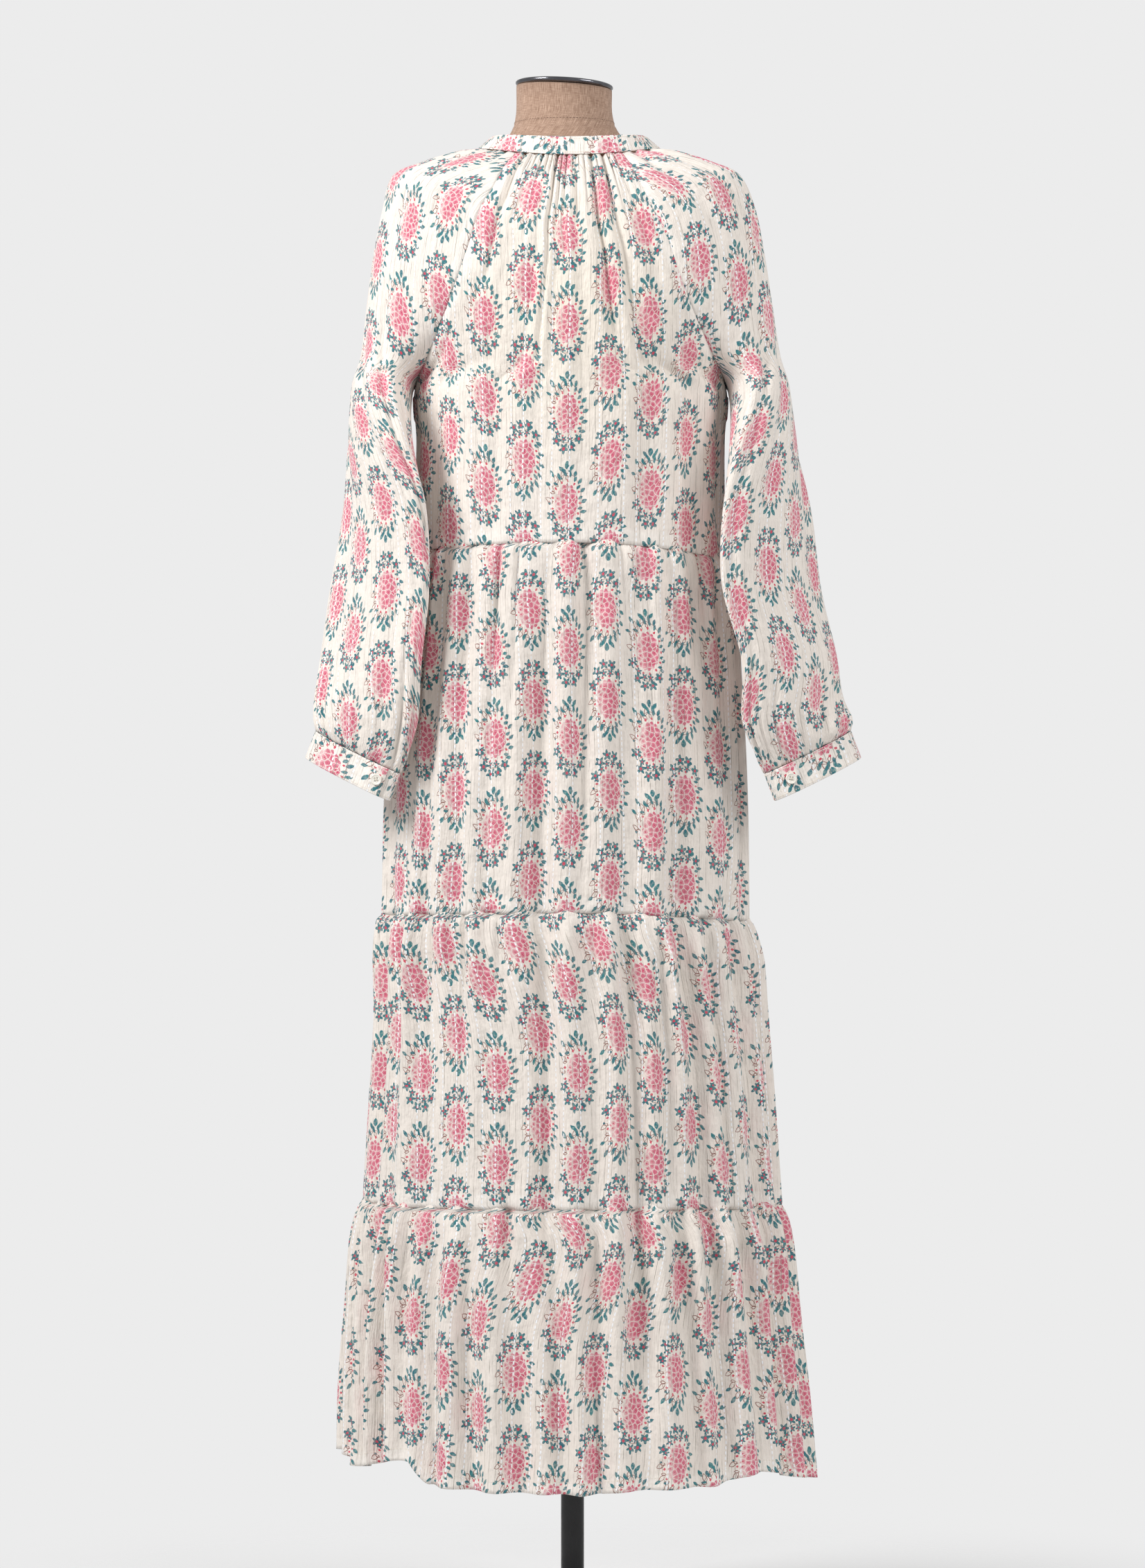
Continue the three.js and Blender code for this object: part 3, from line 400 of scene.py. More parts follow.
def grid_object(name, points, flat, layers=None):
    """A mesh object of quads from a grid of points in millimetres, with its map and its doubled places."""
    rows, columns = points.shape[:2]
    index = np.arange(rows * columns).reshape(rows, columns)
    quads = np.stack([index[:-1, :-1], index[1:, :-1], index[1:, 1:], index[:-1, 1:]], axis=-1)
    mesh = bpy.data.meshes.new(name)
    mesh.from_pydata((points.reshape(-1, 3) * MM).tolist(), [], quads.reshape(-1, 4).tolist())
    corner = np.empty(len(mesh.loops), int)
    mesh.loops.foreach_get("vertex_index", corner)
    mesh.uv_layers.new(name="flat_cloth").data.foreach_set("uv", flat.reshape(-1, 2)[corner].ravel())
    doubled = mesh.attributes.new("layers", "FLOAT", "POINT")
    values = np.zeros((rows, columns)) if layers is None else layers
    doubled.data.foreach_set("value", values.astype(np.float32).ravel())
    mesh.polygons.foreach_set("use_smooth", [True] * len(mesh.polygons))
    made = bpy.data.objects.new(name, mesh)
    bpy.context.scene.collection.objects.link(made)
    return made


def thicken(piece, thickness=CLOTH):
    solid = piece.modifiers.new("cloth_thickness", "SOLIDIFY")
    solid.thickness = thickness * MM
    solid.offset = -1
    return piece


pieces = {}
print("cloth thickness:", CLOTH, "mm")

# %% [markdown]
# ## The bodice and the sleeves
# The yoke is gathered into the collar, so narrow folds fan out from the neck seam. Some are deep and run far
# down, and others end after a few centimetres. Long drag folds run over both shoulders, and the sleeves hang
# in soft upright folds that are gathered again into the cuffs. The places of the main folds at the back were
# read from the photograph, and those at the front are of the same kind.

# %% Sizes of the folds of the bodice
YOKE_STEPS = [7, 8, 8, 9, 10, 10, 9, 8]
PANEL_STEPS = YOKE_STEPS + [12, 13, 13]
SLEEVE_STEPS = YOKE_STEPS + [12, 15, 17, 16, 12, 8, 5]
PANEL_COLUMNS = {"back": 208, "front": 144}
SLEEVE_COLUMNS = 132
COARSE_FOLDS = 9
COARSE_DEPTH = [0.3, 1.0, 1.5, 1.8, 1.9, 1.9, 1.8, 1.8, 1.9, 1.9, 1.6, 1.0]
FINE_GATHERS = 21
SEAM_PINCH = 0.9  # how far a seam draws the cloth in
SEAM_REACH = 3.5
WAIST_PINCH = 0.5

# Valleys of each panel: at from -1 to 1 across it, width, depth in mm, first and last row, fade and drift
PANEL_VALLEYS = {
    "back": [
        (-0.81, 0.035, 3.6, -0.8, 5.4, 0.8, 0.012),
        (-0.62, 0.03, 1.8, -0.8, 3.4, 0.8, 0.01),
        (-0.46, 0.03, 2.2, -0.8, 4.2, 0.8, 0.004),
        (-0.19, 0.026, 4.4, -0.8, 7.4, 0.8, -0.004),
        (-0.04, 0.024, 2.2, -0.8, 4.6, 0.8, 0.0),
        (0.12, 0.025, 2.6, -0.8, 3.4, 0.8, 0.0),
        (0.4, 0.03, 4.6, -0.8, 6.6, 0.8, -0.012),
        (0.62, 0.034, 4.2, -0.8, 8.5, 0.8, -0.02),
        (0.86, 0.03, 2.4, -0.8, 5.2, 0.8, -0.01),
        (-0.66, 0.06, 4.5, 6.4, 11.6, 1.6, 0.0),
        (-0.33, 0.05, 3.0, 7.2, 11.8, 1.4, 0.004),
        (0.05, 0.045, 3.0, 6.0, 11.5, 1.8, -0.004),
        (0.3, 0.045, 3.4, 7.0, 11.8, 1.6, 0.0),
        (0.55, 0.06, 4.2, 6.2, 11.4, 1.6, 0.006),
        (0.82, 0.05, 3.5, 6.8, 11.8, 1.4, 0.0),
        (-0.9, 0.045, 3.5, 5.8, 11.4, 1.4, 0.0),
    ],
    "front": [
        (-0.76, 0.03, 3.4, -0.8, 5.0, 0.8, 0.01),
        (-0.5, 0.03, 2.6, -0.8, 4.0, 0.8, 0.0),
        (-0.28, 0.026, 3.8, -0.8, 7.0, 0.8, 0.0),
        (0.26, 0.026, 3.2, -0.8, 6.2, 0.8, 0.004),
        (0.48, 0.03, 4.0, -0.8, 7.2, 0.8, -0.01),
        (0.78, 0.03, 3.0, -0.8, 5.0, 0.8, -0.01),
        (-0.6, 0.055, 4.2, 6.0, 11.6, 1.6, 0.0),
        (-0.2, 0.045, 3.2, 7.0, 11.6, 1.6, 0.0),
        (0.2, 0.045, 3.4, 6.6, 11.4, 1.6, 0.0),
        (0.62, 0.055, 4.0, 6.2, 11.6, 1.6, 0.0),
    ],
}

# Valleys of each sleeve: at from -1 to 1 round it, with the outer edge at 0, and then as above
SLEEVE_VALLEYS = {
    "left": [
        (0.86, 0.05, 2.6, -0.6, 4.5, 1.0, -0.03),
        (0.62, 0.06, 3.0, -0.6, 5.5, 1.0, -0.035),
        (0.36, 0.05, 2.0, -0.6, 4.0, 1.0, -0.03),
        (-0.3, 0.05, 2.4, -0.6, 4.5, 1.0, 0.02),
        (-0.7, 0.05, 2.6, -0.6, 5.0, 1.0, 0.03),
        (-0.55, 0.07, 5, 8, 14, 2, 0),
        (-0.18, 0.06, 4, 5, 13, 2, 0),
        (0.2, 0.06, 5, 6, 14, 2, 0.004),
        (0.34, 0.03, 2.4, 9, 14.4, 1.5, 0),
        (0.46, 0.055, 6, 5, 12, 2, 0.01),
        (0.6, 0.03, 2.6, 9.5, 15, 1.2, 0),
        (0.7, 0.055, 5, 8, 15, 2, 0),
        (0.88, 0.035, 3, 9, 14, 1.5, -0.005),
    ],
    "right": [
        (-0.86, 0.05, 3.2, -0.6, 5.0, 1.0, 0.035),
        (-0.62, 0.05, 4.2, -0.6, 6.5, 1.0, 0.045),
        (-0.38, 0.045, 3.4, -0.6, 5.5, 1.0, 0.04),
        (-0.12, 0.05, 2.0, -0.6, 4.0, 1.0, 0.03),
        (0.3, 0.05, 2.4, -0.6, 4.5, 1.0, -0.02),
        (0.7, 0.05, 2.6, -0.6, 5.0, 1.0, -0.03),
        (-0.9, 0.035, 3, 9, 14, 1.5, 0.004),
        (-0.68, 0.06, 5, 8, 14, 2, 0),
        (-0.55, 0.03, 2.6, 9.5, 14.6, 1.2, 0),
        (-0.42, 0.06, 6, 5, 14, 2, 0.004),
        (-0.28, 0.03, 2.4, 10, 15, 1.2, 0),
        (-0.16, 0.055, 4, 6, 13, 2, 0),
        (0.22, 0.07, 5, 5, 12, 2, 0),
        (0.6, 0.06, 5, 8, 15, 2, 0),
    ],
}
CUFF_GATHERS = 15
CUFF_GATHER_DEPTH = [0] * 9 + [0.3, 0.5, 0.9, 1.6, 2.9, 2.4, 0.9]
print("valleys:", sum(len(v) for v in PANEL_VALLEYS.values()) + sum(len(v) for v in SLEEVE_VALLEYS.values()))


# %% Smooth grids of the panels and sleeves, before their folds
def columns_of(count):
    return np.linspace(-1, 1, count + 1)


PANEL_T = {side: columns_of(count) for side, count in PANEL_COLUMNS.items()}
SLEEVE_T = columns_of(SLEEVE_COLUMNS)
panel_grid, sleeve_grid = {}, {}
for side, t in PANEL_T.items():
    rows = [panel_row(side, j, t) for j in range(len(PANEL_STEPS) + 1)]
    panel_grid[side], PANEL_PLACES = between_rows(rows, PANEL_STEPS)
for side in SLEEVES:
    rows = [sleeve_row(side, j, SLEEVE_T) for j in range(len(SLEEVE_STEPS) + 1)]
    sleeve_grid[side], SLEEVE_PLACES = between_rows(rows, SLEEVE_STEPS)
YOKE_END = sum(YOKE_STEPS)
print("rows:", len(PANEL_PLACES), "on a panel and", len(SLEEVE_PLACES), "on a sleeve")


# %% Normals that pass smoothly over the seams
def panel_normals(side):
    other = "front" if side == "back" else "back"
    before, after = panel_grid[other][:, -2].copy(), panel_grid[other][:, 1].copy()
    first, second = ("left", "right") if side == "back" else ("right", "left")
    before[:YOKE_END] = sleeve_grid[first][:YOKE_END, -2]
    after[:YOKE_END] = sleeve_grid[second][:YOKE_END, 1]
    return normals_of(panel_grid[side], before, after)


def sleeve_normals(side):
    grid = sleeve_grid[side]
    before, after = grid[:, -2].copy(), grid[:, 1].copy()
    first, second = ("back", "front") if side == "right" else ("front", "back")
    before[:YOKE_END] = panel_grid[first][:YOKE_END, -2]
    after[:YOKE_END] = panel_grid[second][:YOKE_END, 1]
    return normals_of(grid, before, after)


# %% Folds of the panels
def seam_distance(points):
    """How far each point lies from the nearer side edge of its piece, along the cloth."""
    across = lengths_along(points, 1)
    return np.minimum(across, across[:, -1:] - across)


def folded_panel(side):
    grid, t, row = panel_grid[side], PANEL_T[side], PANEL_PLACES[:, None]
    seed = 5 if side == "back" else 6
    share = (t + 1) / 2
    coarse, phase = gather_phase(share, np.linspace(0, 1, COARSE_FOLDS + 1))
    depth = np.interp(PANEL_PLACES, range(len(COARSE_DEPTH)), COARSE_DEPTH)[:, None]
    out = -np.cos(2 * np.pi * phase) * depth * (0.5 + chance(coarse, seed)) * (1 - 0.75 * smooth(np.abs(t)))
    fine, phase = gather_phase(share, uneven_edges(FINE_GATHERS, seed + 10))
    reach = mix(1.2, 4.6, chance(fine, seed + 20))
    lasting = (1 - smooth(row / reach)) * smooth(row / 0.25 + 0.35)
    out = out + pinched(phase) * lasting * mix(1.1, 2.3, chance(fine, seed + 30))
    for at, width, valley, start, end, fade, drift in PANEL_VALLEYS[side]:
        out = out + crease(t, row, at, width, valley, start, end, fade, drift)
    edge = seam_distance(grid)
    out = out * smooth(edge / 14) - SEAM_PINCH * np.exp(-((edge / SEAM_REACH) ** 2))
    to_waist = lengths_along(grid, 0)[-1] - lengths_along(grid, 0)
    out = out * mix(0.45, 1, smooth(to_waist / 30)) - WAIST_PINCH * np.exp(-((to_waist / SEAM_REACH) ** 2))
    return grid + panel_normals(side) * out[..., None]


PANELS = {side: folded_panel(side) for side in PANEL_T}
print("folded panels:", list(PANELS))


# %% Folds of the sleeves
def folded_sleeve(side):
    grid, t, row = sleeve_grid[side], SLEEVE_T, SLEEVE_PLACES[:, None]
    out = np.zeros(grid.shape[:2])
    for at, width, valley, start, end, fade, drift in SLEEVE_VALLEYS[side]:
        out = out + crease(t, row, at, width, valley, start, end, fade, drift)
    seed = 7 if side == "left" else 8
    share = (t + 1) / 2
    index, phase = gather_phase(share, uneven_edges(CUFF_GATHERS, seed))
    depth = np.interp(SLEEVE_PLACES, range(len(CUFF_GATHER_DEPTH)), CUFF_GATHER_DEPTH)[:, None]
    start = mix(9, 12.5, chance(index, seed + 1))
    share_of_depth = mix(0.6, 1.25, chance(index, seed + 2))
    out = out + pinched(phase, 1.3) * depth * share_of_depth * smooth((row - start) / 3)
    index, phase = gather_phase(share, uneven_edges(11, seed + 3))
    reach = mix(1.5, 4.5, chance(index, seed + 4))
    out = out + pinched(phase) * (1 - smooth(row / reach)) * mix(0.5, 1.2, chance(index, seed + 5))
    edge = seam_distance(grid)
    out = out * smooth(edge / 14) - SEAM_PINCH * np.exp(-((edge / SEAM_REACH) ** 2))
    return grid + sleeve_normals(side) * out[..., None]


SLEEVE_CLOTH = {side: folded_sleeve(side) for side in SLEEVES}
print("folded sleeves:", list(SLEEVE_CLOTH))

# %% Flat widths of the cut pieces
# How much wider each row's flat cloth is than the row hangs, from the collar down
PANEL_FULLNESS = [1.75, 1.45, 1.3, 1.22, 1.18, 1.16, 1.15, 1.14, 1.14, 1.14, 1.14, 1.16]
SLEEVE_FULLNESS = [1.5, 1.3, 1.2, 1.12, 1.1, 1.08, 1.06, 1.05, 1.05, 1.05, 1.06, 1.08, 1.12, 1.25, 1.5, 1.7]


def flat_widths(grid, places, fullness):
    hung = lengths_along(grid, 1)[:, -1]
    return hung * np.interp(places, range(len(fullness)), fullness)


def flat_cut(points, widths):
    """The width, length and area of the flat cut in metres, from its rows."""
    middle = lengths_along(points, 0)[:, points.shape[1] // 2]
    area = float(np.sum((widths[1:] + widths[:-1]) / 2 * np.diff(middle))) * MM * MM
    return float(widths.max()) * MM, float(middle[-1]) * MM, area


flat_cuts = {}


def keep_cut(name, points, widths):
    flat_cuts[name] = flat_cut(points, widths)
    print(name, "flat cut:", [round(x, 3) for x in flat_cuts[name]])


SEAM_ALLOWANCE = 15
RAGLAN_ALLOWANCE = 8


def doubled_near(distance, reach):
    """1 where a seam allowance lies behind the cloth, with a soft edge half a millimetre wide."""
    return 1 - smooth((distance - reach) / 2)


# %% The back bodice and the sleeves as cloth
def from_bottom(points):
    down = lengths_along(points, 0)
    return down[-1] - down


PRINT_SHIFT = {
    "back": (4, 10),
    "front": (20, 30),
    "left": (12, 40),
    "right": (-14, 8),
    "tier_1": (-6, 26),
    "tier_2": (10, -12),
    "tier_3": (18, 30),
}

widths = flat_widths(panel_grid["back"], PANEL_PLACES, PANEL_FULLNESS)
layers = np.maximum(
    doubled_near(from_bottom(PANELS["back"]), SEAM_ALLOWANCE),
    doubled_near(seam_distance(PANELS["back"]), RAGLAN_ALLOWANCE),
)
flat = cloth_map(PANELS["back"], widths, *PRINT_SHIFT["back"])
pieces["back_bodice"] = thicken(grid_object("back_bodice_cloth", PANELS["back"], flat, layers))
keep_cut("back_bodice", PANELS["back"], widths)

for side, points in SLEEVE_CLOTH.items():
    widths = flat_widths(sleeve_grid[side], SLEEVE_PLACES, SLEEVE_FULLNESS)
    layers = doubled_near(seam_distance(points), RAGLAN_ALLOWANCE)
    flat = cloth_map(points, widths, *PRINT_SHIFT[side])
    pieces["sleeve_" + side] = thicken(grid_object(f"sleeve_{side}_cloth", points, flat, layers))
    keep_cut("sleeve_" + side, points, widths)

# %% [markdown]
# ## The front with its neck slit
# The photograph shows only the back. Such a dress opens at the front, so the front has a plain slit with a
# narrow bound edge, and nothing more. The front is made like the back, and its middle column of points is
# doubled and drawn apart above the slit's end.

# %% The front bodice and its placket
SLIT = {"top": 8, "bottom": 2, "top_z": 1512, "bottom_z": 1319, "spread": 30}
PLACKET = {"width": 11, "lift": 1.0, "wall": 0.7, "columns": 6}


def slit_half(z):
    """Half the slit's width at a height. It closes in a small half round."""
    open_part = mix(SLIT["bottom"], SLIT["top"], (z - SLIT["bottom_z"]) / (SLIT["top_z"] - SLIT["bottom_z"]))
    below = np.clip(SLIT["bottom_z"] - z, 0, SLIT["bottom"])
    round_part = np.sqrt(SLIT["bottom"] ** 2 - below**2)
    return np.where(z > SLIT["bottom_z"], open_part, round_part)


def drawn_apart(half_grid, sign):
    """Moves the points of one half of the front sideways, so that its middle edge lies on the slit's edge."""
    middle = half_grid[:, -1:] if sign > 0 else half_grid[:, :1]
    away = np.abs(half_grid[..., 0] - middle[..., 0])
    half = slit_half(middle[..., 2])
    moved = np.where(away < SLIT["spread"], half + away * (1 - half / SLIT["spread"]), away)
    made = half_grid.copy()
    made[..., 0] = middle[..., 0] + sign * moved
    return made


def without_column(piece, column, columns):
    """Takes out the faces between a column and the next, and closes what touches there."""
    shape = bmesh.new()
    shape.from_mesh(piece.data)
    shape.verts.ensure_lookup_table()
    left = {column, column + 1}
    between = [f for f in shape.faces if {v.index % columns for v in f.verts} == left]
    bmesh.ops.delete(shape, geom=between, context="FACES_ONLY")
    edge = [v for v in shape.verts if v.index % columns in left]
    bmesh.ops.remove_doubles(shape, verts=edge, dist=0.02 * MM)
    shape.to_mesh(piece.data)
    shape.free()
    return piece


half_columns = PANEL_COLUMNS["front"] // 2
front = PANELS["front"]
front_flat = cloth_map(
    front, flat_widths(panel_grid["front"], PANEL_PLACES, PANEL_FULLNESS), *PRINT_SHIFT["front"]
)
front_layers = np.maximum(
    doubled_near(from_bottom(front), SEAM_ALLOWANCE), doubled_near(seam_distance(front), RAGLAN_ALLOWANCE)
)
right_half = drawn_apart(front[:, : half_columns + 1], 1)
left_half = drawn_apart(front[:, half_columns:], -1)


def twice_middle(values):
    return np.concatenate([values[:, : half_columns + 1], values[:, half_columns:]], axis=1)


split_front = np.concatenate([right_half, left_half], axis=1)
front_piece = grid_object(
    "front_bodice_cloth", split_front, twice_middle(front_flat), twice_middle(front_layers)
)
pieces["front_bodice"] = thicken(without_column(front_piece, half_columns, split_front.shape[1]))
keep_cut("front_bodice", front, flat_widths(panel_grid["front"], PANEL_PLACES, PANEL_FULLNESS))


def placket_half(half_grid, sign):
    """A strip beside the slit, made from the front's own points and moved out."""
    rows = []
    for row in half_grid if sign < 0 else half_grid[:, ::-1]:
        middle = row[0]
        if middle[2] < SLIT["bottom_z"] - SLIT["bottom"] - PLACKET["width"]:
            break
        away = np.abs(row[:, 0] - middle[0])
        wanted = np.linspace(0, PLACKET["width"], PLACKET["columns"])
        rows.append(
            [[middle[0] + w * sign, *[np.interp(w, away, row[:, k]) for k in (1, 2)]] for w in wanted]
        )
    strip = np.array(rows)
    return strip[:, ::-1] if sign > 0 else strip


halves = [placket_half(right_half, 1), placket_half(left_half, -1)]
placket_points = np.concatenate(halves, axis=1)
outwards = np.concatenate([normals_of(h) for h in halves], axis=1)
placket_points = placket_points + outwards * PLACKET["lift"]
span = PLACKET["width"] * 2.0
placket_flat = cloth_map(placket_points, [span] * len(placket_points), 30, 5)
placket = grid_object("front_placket_cloth", placket_points, placket_flat, np.ones(placket_points.shape[:2]))
pieces["front_placket"] = thicken(
    without_column(placket, PLACKET["columns"] - 1, 2 * PLACKET["columns"]), PLACKET["wall"]
)
keep_cut("front_placket", placket_points, np.full(len(placket_points), span))
print("front pieces:", [p for p in pieces if p.startswith("front")])

# %% [markdown]
# ## The tiers of the skirt
# Each tier is a straight width of cloth, gathered into the one above. Close to the seam the gathers are
# narrow and sharp, and further down a few of them carry on as soft round folds while the rest fade. The
# seam itself draws the cloth in, which gives the dark line under each tier's edge.

# %% Tables of the skirt
TIERS = [
    {
        "name": "tier_1",
        "folds": 26,
        "depths": (1.6, 5, 4),
        "seed": 1,
        "flat": 600,
        "rings": [
            (1126, 1121, 1112, -3, 163, 118, 130),
            (1105, 1100, 1092, -3, 167, 121, 133),
            (1032, 1028, 1022, -4, 175, 124, 136),
            (902, 898, 893, -7, 184, 128, 139),
            (751, 746, 740, -8, 187, 132, 142),
        ],
    },
    {
        "name": "tier_2",
        "folds": 28,
        "depths": (1.6, 6, 5),
        "seed": 2,
        "flat": 690,
        "rings": [
            (751, 746, 740, -8, 187, 132, 142),
            (730, 725, 720, -7, 191, 136, 146),
            (670, 667, 662, -5, 197, 141, 150),
            (582, 579, 575, -2, 205, 147, 155),
            (453, 450, 446, -1, 213.5, 153, 160),
        ],
    },
    {
        "name": "tier_3",
        "folds": 32,
        "depths": (1.8, 7, 8),
        "seed": 3,
        "flat": 830,
        "rings": [
            (453, 450, 446, -1, 213.5, 153, 160),
            (432, 428, 424, -1, 221, 159, 165),
            (374, 372, 369, 0, 229, 166, 170),
            (287, 289, 283, 2, 236, 172, 175),
            (170, 182, 164, 6, 242, 177, 179),
        ],
    },
]
# The deep folds: at from the left side (0) to the right (1), width, depth, first and last tier
DEEP_FOLDS = [
    (0.115, 0.03, 9, 0.3, 3),
    (0.265, 0.034, 8, 0.9, 3),
    (0.455, 0.03, 13, 0.1, 3),
    (0.6, 0.026, 8, 0.2, 2.6),
    (0.72, 0.03, 9, 0.1, 3),
    (0.86, 0.034, 10, 0.8, 3),
]
HEM_LIFTS = [
    (0, 10),
    (0.1, 2),
    (0.24, 20),
    (0.28, 0),
    (0.5, 0),
    (0.6, 5),
    (0.68, 6),
    (0.78, 18),
    (0.9, 7),
    (1, 0),
]
# Smaller creases between the folds of the solids: at, width, depth, first and last tier, fade and drift
SMALL_VALLEYS = [
    (0.06, 0.012, 3.7, 0.0, 0.8, 0.2, 0.0),
    (0.18, 0.014, 5.1, 0.0, 1.0, 0.25, 0.006),
    (0.33, 0.012, 4.4, 0.0, 0.7, 0.2, 0.0),
    (0.4, 0.012, 4.1, 0.15, 1.0, 0.2, -0.01),
    (0.53, 0.012, 4.4, 0.0, 0.9, 0.2, 0.004),
    (0.66, 0.012, 4.8, 0.0, 0.6, 0.2, 0.0),
    (0.8, 0.014, 5.1, 0.0, 1.0, 0.25, -0.004),
    (0.93, 0.012, 4.1, 0.1, 1.0, 0.25, 0.0),
    (0.08, 0.014, 5.1, 1.0, 1.9, 0.2, 0.0),
    (0.21, 0.014, 5.4, 1.0, 1.7, 0.2, 0.008),
    (0.36, 0.012, 4.8, 1.0, 2.0, 0.2, 0.0),
    (0.42, 0.013, 6.1, 1.3, 2.0, 0.2, 0.006),
    (0.56, 0.012, 4.4, 1.0, 1.8, 0.2, 0.0),
    (0.66, 0.013, 5.4, 1.1, 2.0, 0.2, -0.004),
    (0.78, 0.014, 5.8, 1.0, 1.9, 0.2, 0.0),
    (0.92, 0.013, 5.1, 1.0, 2.0, 0.2, 0.0),
    (0.05, 0.012, 5.1, 2.0, 3.2, 0.2, 0.0),
    (0.17, 0.013, 6.1, 2.0, 3.2, 0.2, 0.006),
    (0.34, 0.012, 5.8, 2.0, 2.9, 0.2, 0.0),
    (0.4, 0.012, 6.5, 2.0, 3.2, 0.2, 0.01),
    (0.52, 0.012, 5.1, 2.0, 3.2, 0.2, 0.0),
    (0.67, 0.013, 6.1, 2.0, 3.2, 0.2, 0.004),
    (0.79, 0.013, 5.1, 2.0, 3.0, 0.2, 0.0),
    (0.95, 0.012, 5.4, 2.0, 3.2, 0.2, 0.0),
]
SKIRT_SOFTNESS = 0.88  # the thin cloth's folds are rounder and flatter than the solids' straight walls
TIER_COLUMNS = {"back": 236, "front": 176}
ROW_SPACING = {"back": 4.4, "front": 5.6}
TOP_PINCH = 0.6
TUCK = {"up": 6.0, "in": 2.6}  # the seam allowance behind the piece above
# Shares of the round: how far from a side seam the cloth evens out, and a step to just beside the seam
SIDE_SEAM = {"ease": 0.02, "step": 1e-9}
print("folds round the tiers:", [tier["folds"] for tier in TIERS])


# %% Folds of the skirt
def tier_edges(tier):
    """The gathers of a tier as shares of the round, with a gather starting at each side seam."""
    half = tier["folds"] // 2
    widths = 0.75 + 0.5 * chance(np.arange(tier["folds"]), tier["seed"])
    parts = [np.cumsum(w) / w.sum() / 2 for w in (widths[:half], widths[half:])]
    return np.concatenate([[0], parts[0], 0.5 + parts[1]])


EDGES = [tier_edges(tier) for tier in TIERS]


def gathers_at(k, share, v):
    """How far tier k's gathers stand out, v down the tier."""
    top, middle, hem = TIERS[k]["depths"]
    seed = TIERS[k]["seed"]
    index, phase = gather_phase(share, EDGES[k])
    near = mix(top, middle, smooth(v / 0.16)) * (0.55 + 0.9 * chance(index, seed + 20))
    far = hem * (0.35 + 1.1 * chance(index, seed + 10))
    return -np.cos(phase * 2 * np.pi) * mix(near, far, smooth((v - 0.1) / 0.75))


def skirt_folds(k, share, v):
    """The whole wave of tier k. share is a row and v a column of numbers."""
    wave = gathers_at(k, share, v)
    if k > 0:
        wave = wave + gathers_at(k - 1, share, 1.0) * (1 - smooth(v / 0.5))
    along = np.where(share >= 0.5, (share - 0.5) * 2, 1 - share * 2)
    level = k + v
    back = share >= 0.5
    for at, width, depth, start, end in DEEP_FOLDS:
        place = np.where(back, at, 1 - at)
        reach = smooth((level - start) / 0.4) * smooth((end - level) / 0.3 + 0.6)
        wave = wave - depth * reach * np.exp(-(((along - place) / width) ** 2))
    wave = wave * SKIRT_SOFTNESS
    for at, width, depth, start, end, fade, drift in SMALL_VALLEYS:
        place = np.where(back, at, 1 - at + 0.03)
        starts_at_seam = 0.2 if start == int(start) else 0
        reach = smooth((level - start + starts_at_seam) / fade) * smooth((end - level) / fade)
        centre = place + drift * (level - start)
        own_tier = (level >= start - 0.001) * 1.0
        wave = wave - depth * own_tier * reach * np.exp(-(((along - centre) / width) ** 2))
    return wave


def fine_gathers(k, share, down):
    """The narrow gathers just under the seam. down is the distance below it in millimetres."""
    seed = TIERS[k]["seed"] + 40
    half_edges = uneven_edges(TIERS[k]["folds"] * 3 // 4, seed, 0.5, 1.5)
    index, phase = gather_phase((share * 2) % 1.0, half_edges)
    index = index + 100 * (share >= 0.5)
    reach = mix(35, 210, chance(index, seed + 1) ** 2)
    depth = mix(1.2, 4.4, chance(index, seed + 2))
    return pinched(phase, 1.9) * depth * (1 - smooth(down / reach)) * smooth(down / 6 + 0.25)


def joined_at_sides(wave_of, share):
    """The wave with its two halves eased to their mean at each side seam, so that the sewn edges meet."""
    wave = wave_of(share)
    for seam in (0.0, 0.5, 1.0):
        before, after = wave_of(np.array([(seam - SIDE_SEAM["step"]) % 1.0, seam % 1.0]))
        own = np.where(share < seam, before, after)
        near = 1 - smooth(np.abs(share - seam) / SIDE_SEAM["ease"])
        wave = wave + ((before + after) / 2 - own) * near
    return wave


def hem_lift(share):
    """How much higher the hem hangs at a share of the round."""
    along = np.where(share >= 0.5, (share - 0.5) * 2, 1 - share * 2)
    ats, lifts = np.array(HEM_LIFTS, float).T
    nearest = np.clip(np.searchsorted(ats, along), 1, len(ats) - 1)
    part = (along - ats[nearest - 1]) / (ats[nearest] - ats[nearest - 1])
    return mix(lifts[nearest - 1], lifts[nearest], smooth(part))


def tier_points(k, share, spacing, out=0.0):
    """The grid of a tier at shares of the round, with its rows about spacing apart."""
    rings = np.array(TIERS[k]["rings"], float)
    steps = [max(4, round(gap / spacing)) for gap in -np.diff(rings[:, 0])]
    rows, _ = between_rows(rings, steps)
    height = rings[0, 0] - rings[-1, 0]
    made = []
    for ring in rows:
        v = (rings[0, 0] - ring[0]) / height
        down, up = v * height, (1 - v) * height
        wave = joined_at_sides(lambda at: skirt_folds(k, at, v) + fine_gathers(k, at, down), share)
        wave = wave - TOP_PINCH * np.exp(-((down / SEAM_REACH) ** 2)) + out
        if k < len(TIERS) - 1:
            wave = wave - WAIST_PINCH * np.exp(-((up / SEAM_REACH) ** 2))
        points = body_point(ring, share * 2 * np.pi, wave)
        if k == len(TIERS) - 1:
            points[:, 2] += hem_lift(share) * v**3
        made.append(points)
    tucked = made[0] + np.array([0, 0, TUCK["up"]])
    tucked[:, :2] *= 1 - TUCK["in"] / np.linalg.norm(made[0][:, :2], axis=1, keepdims=True)
    return np.array([tucked, *made])


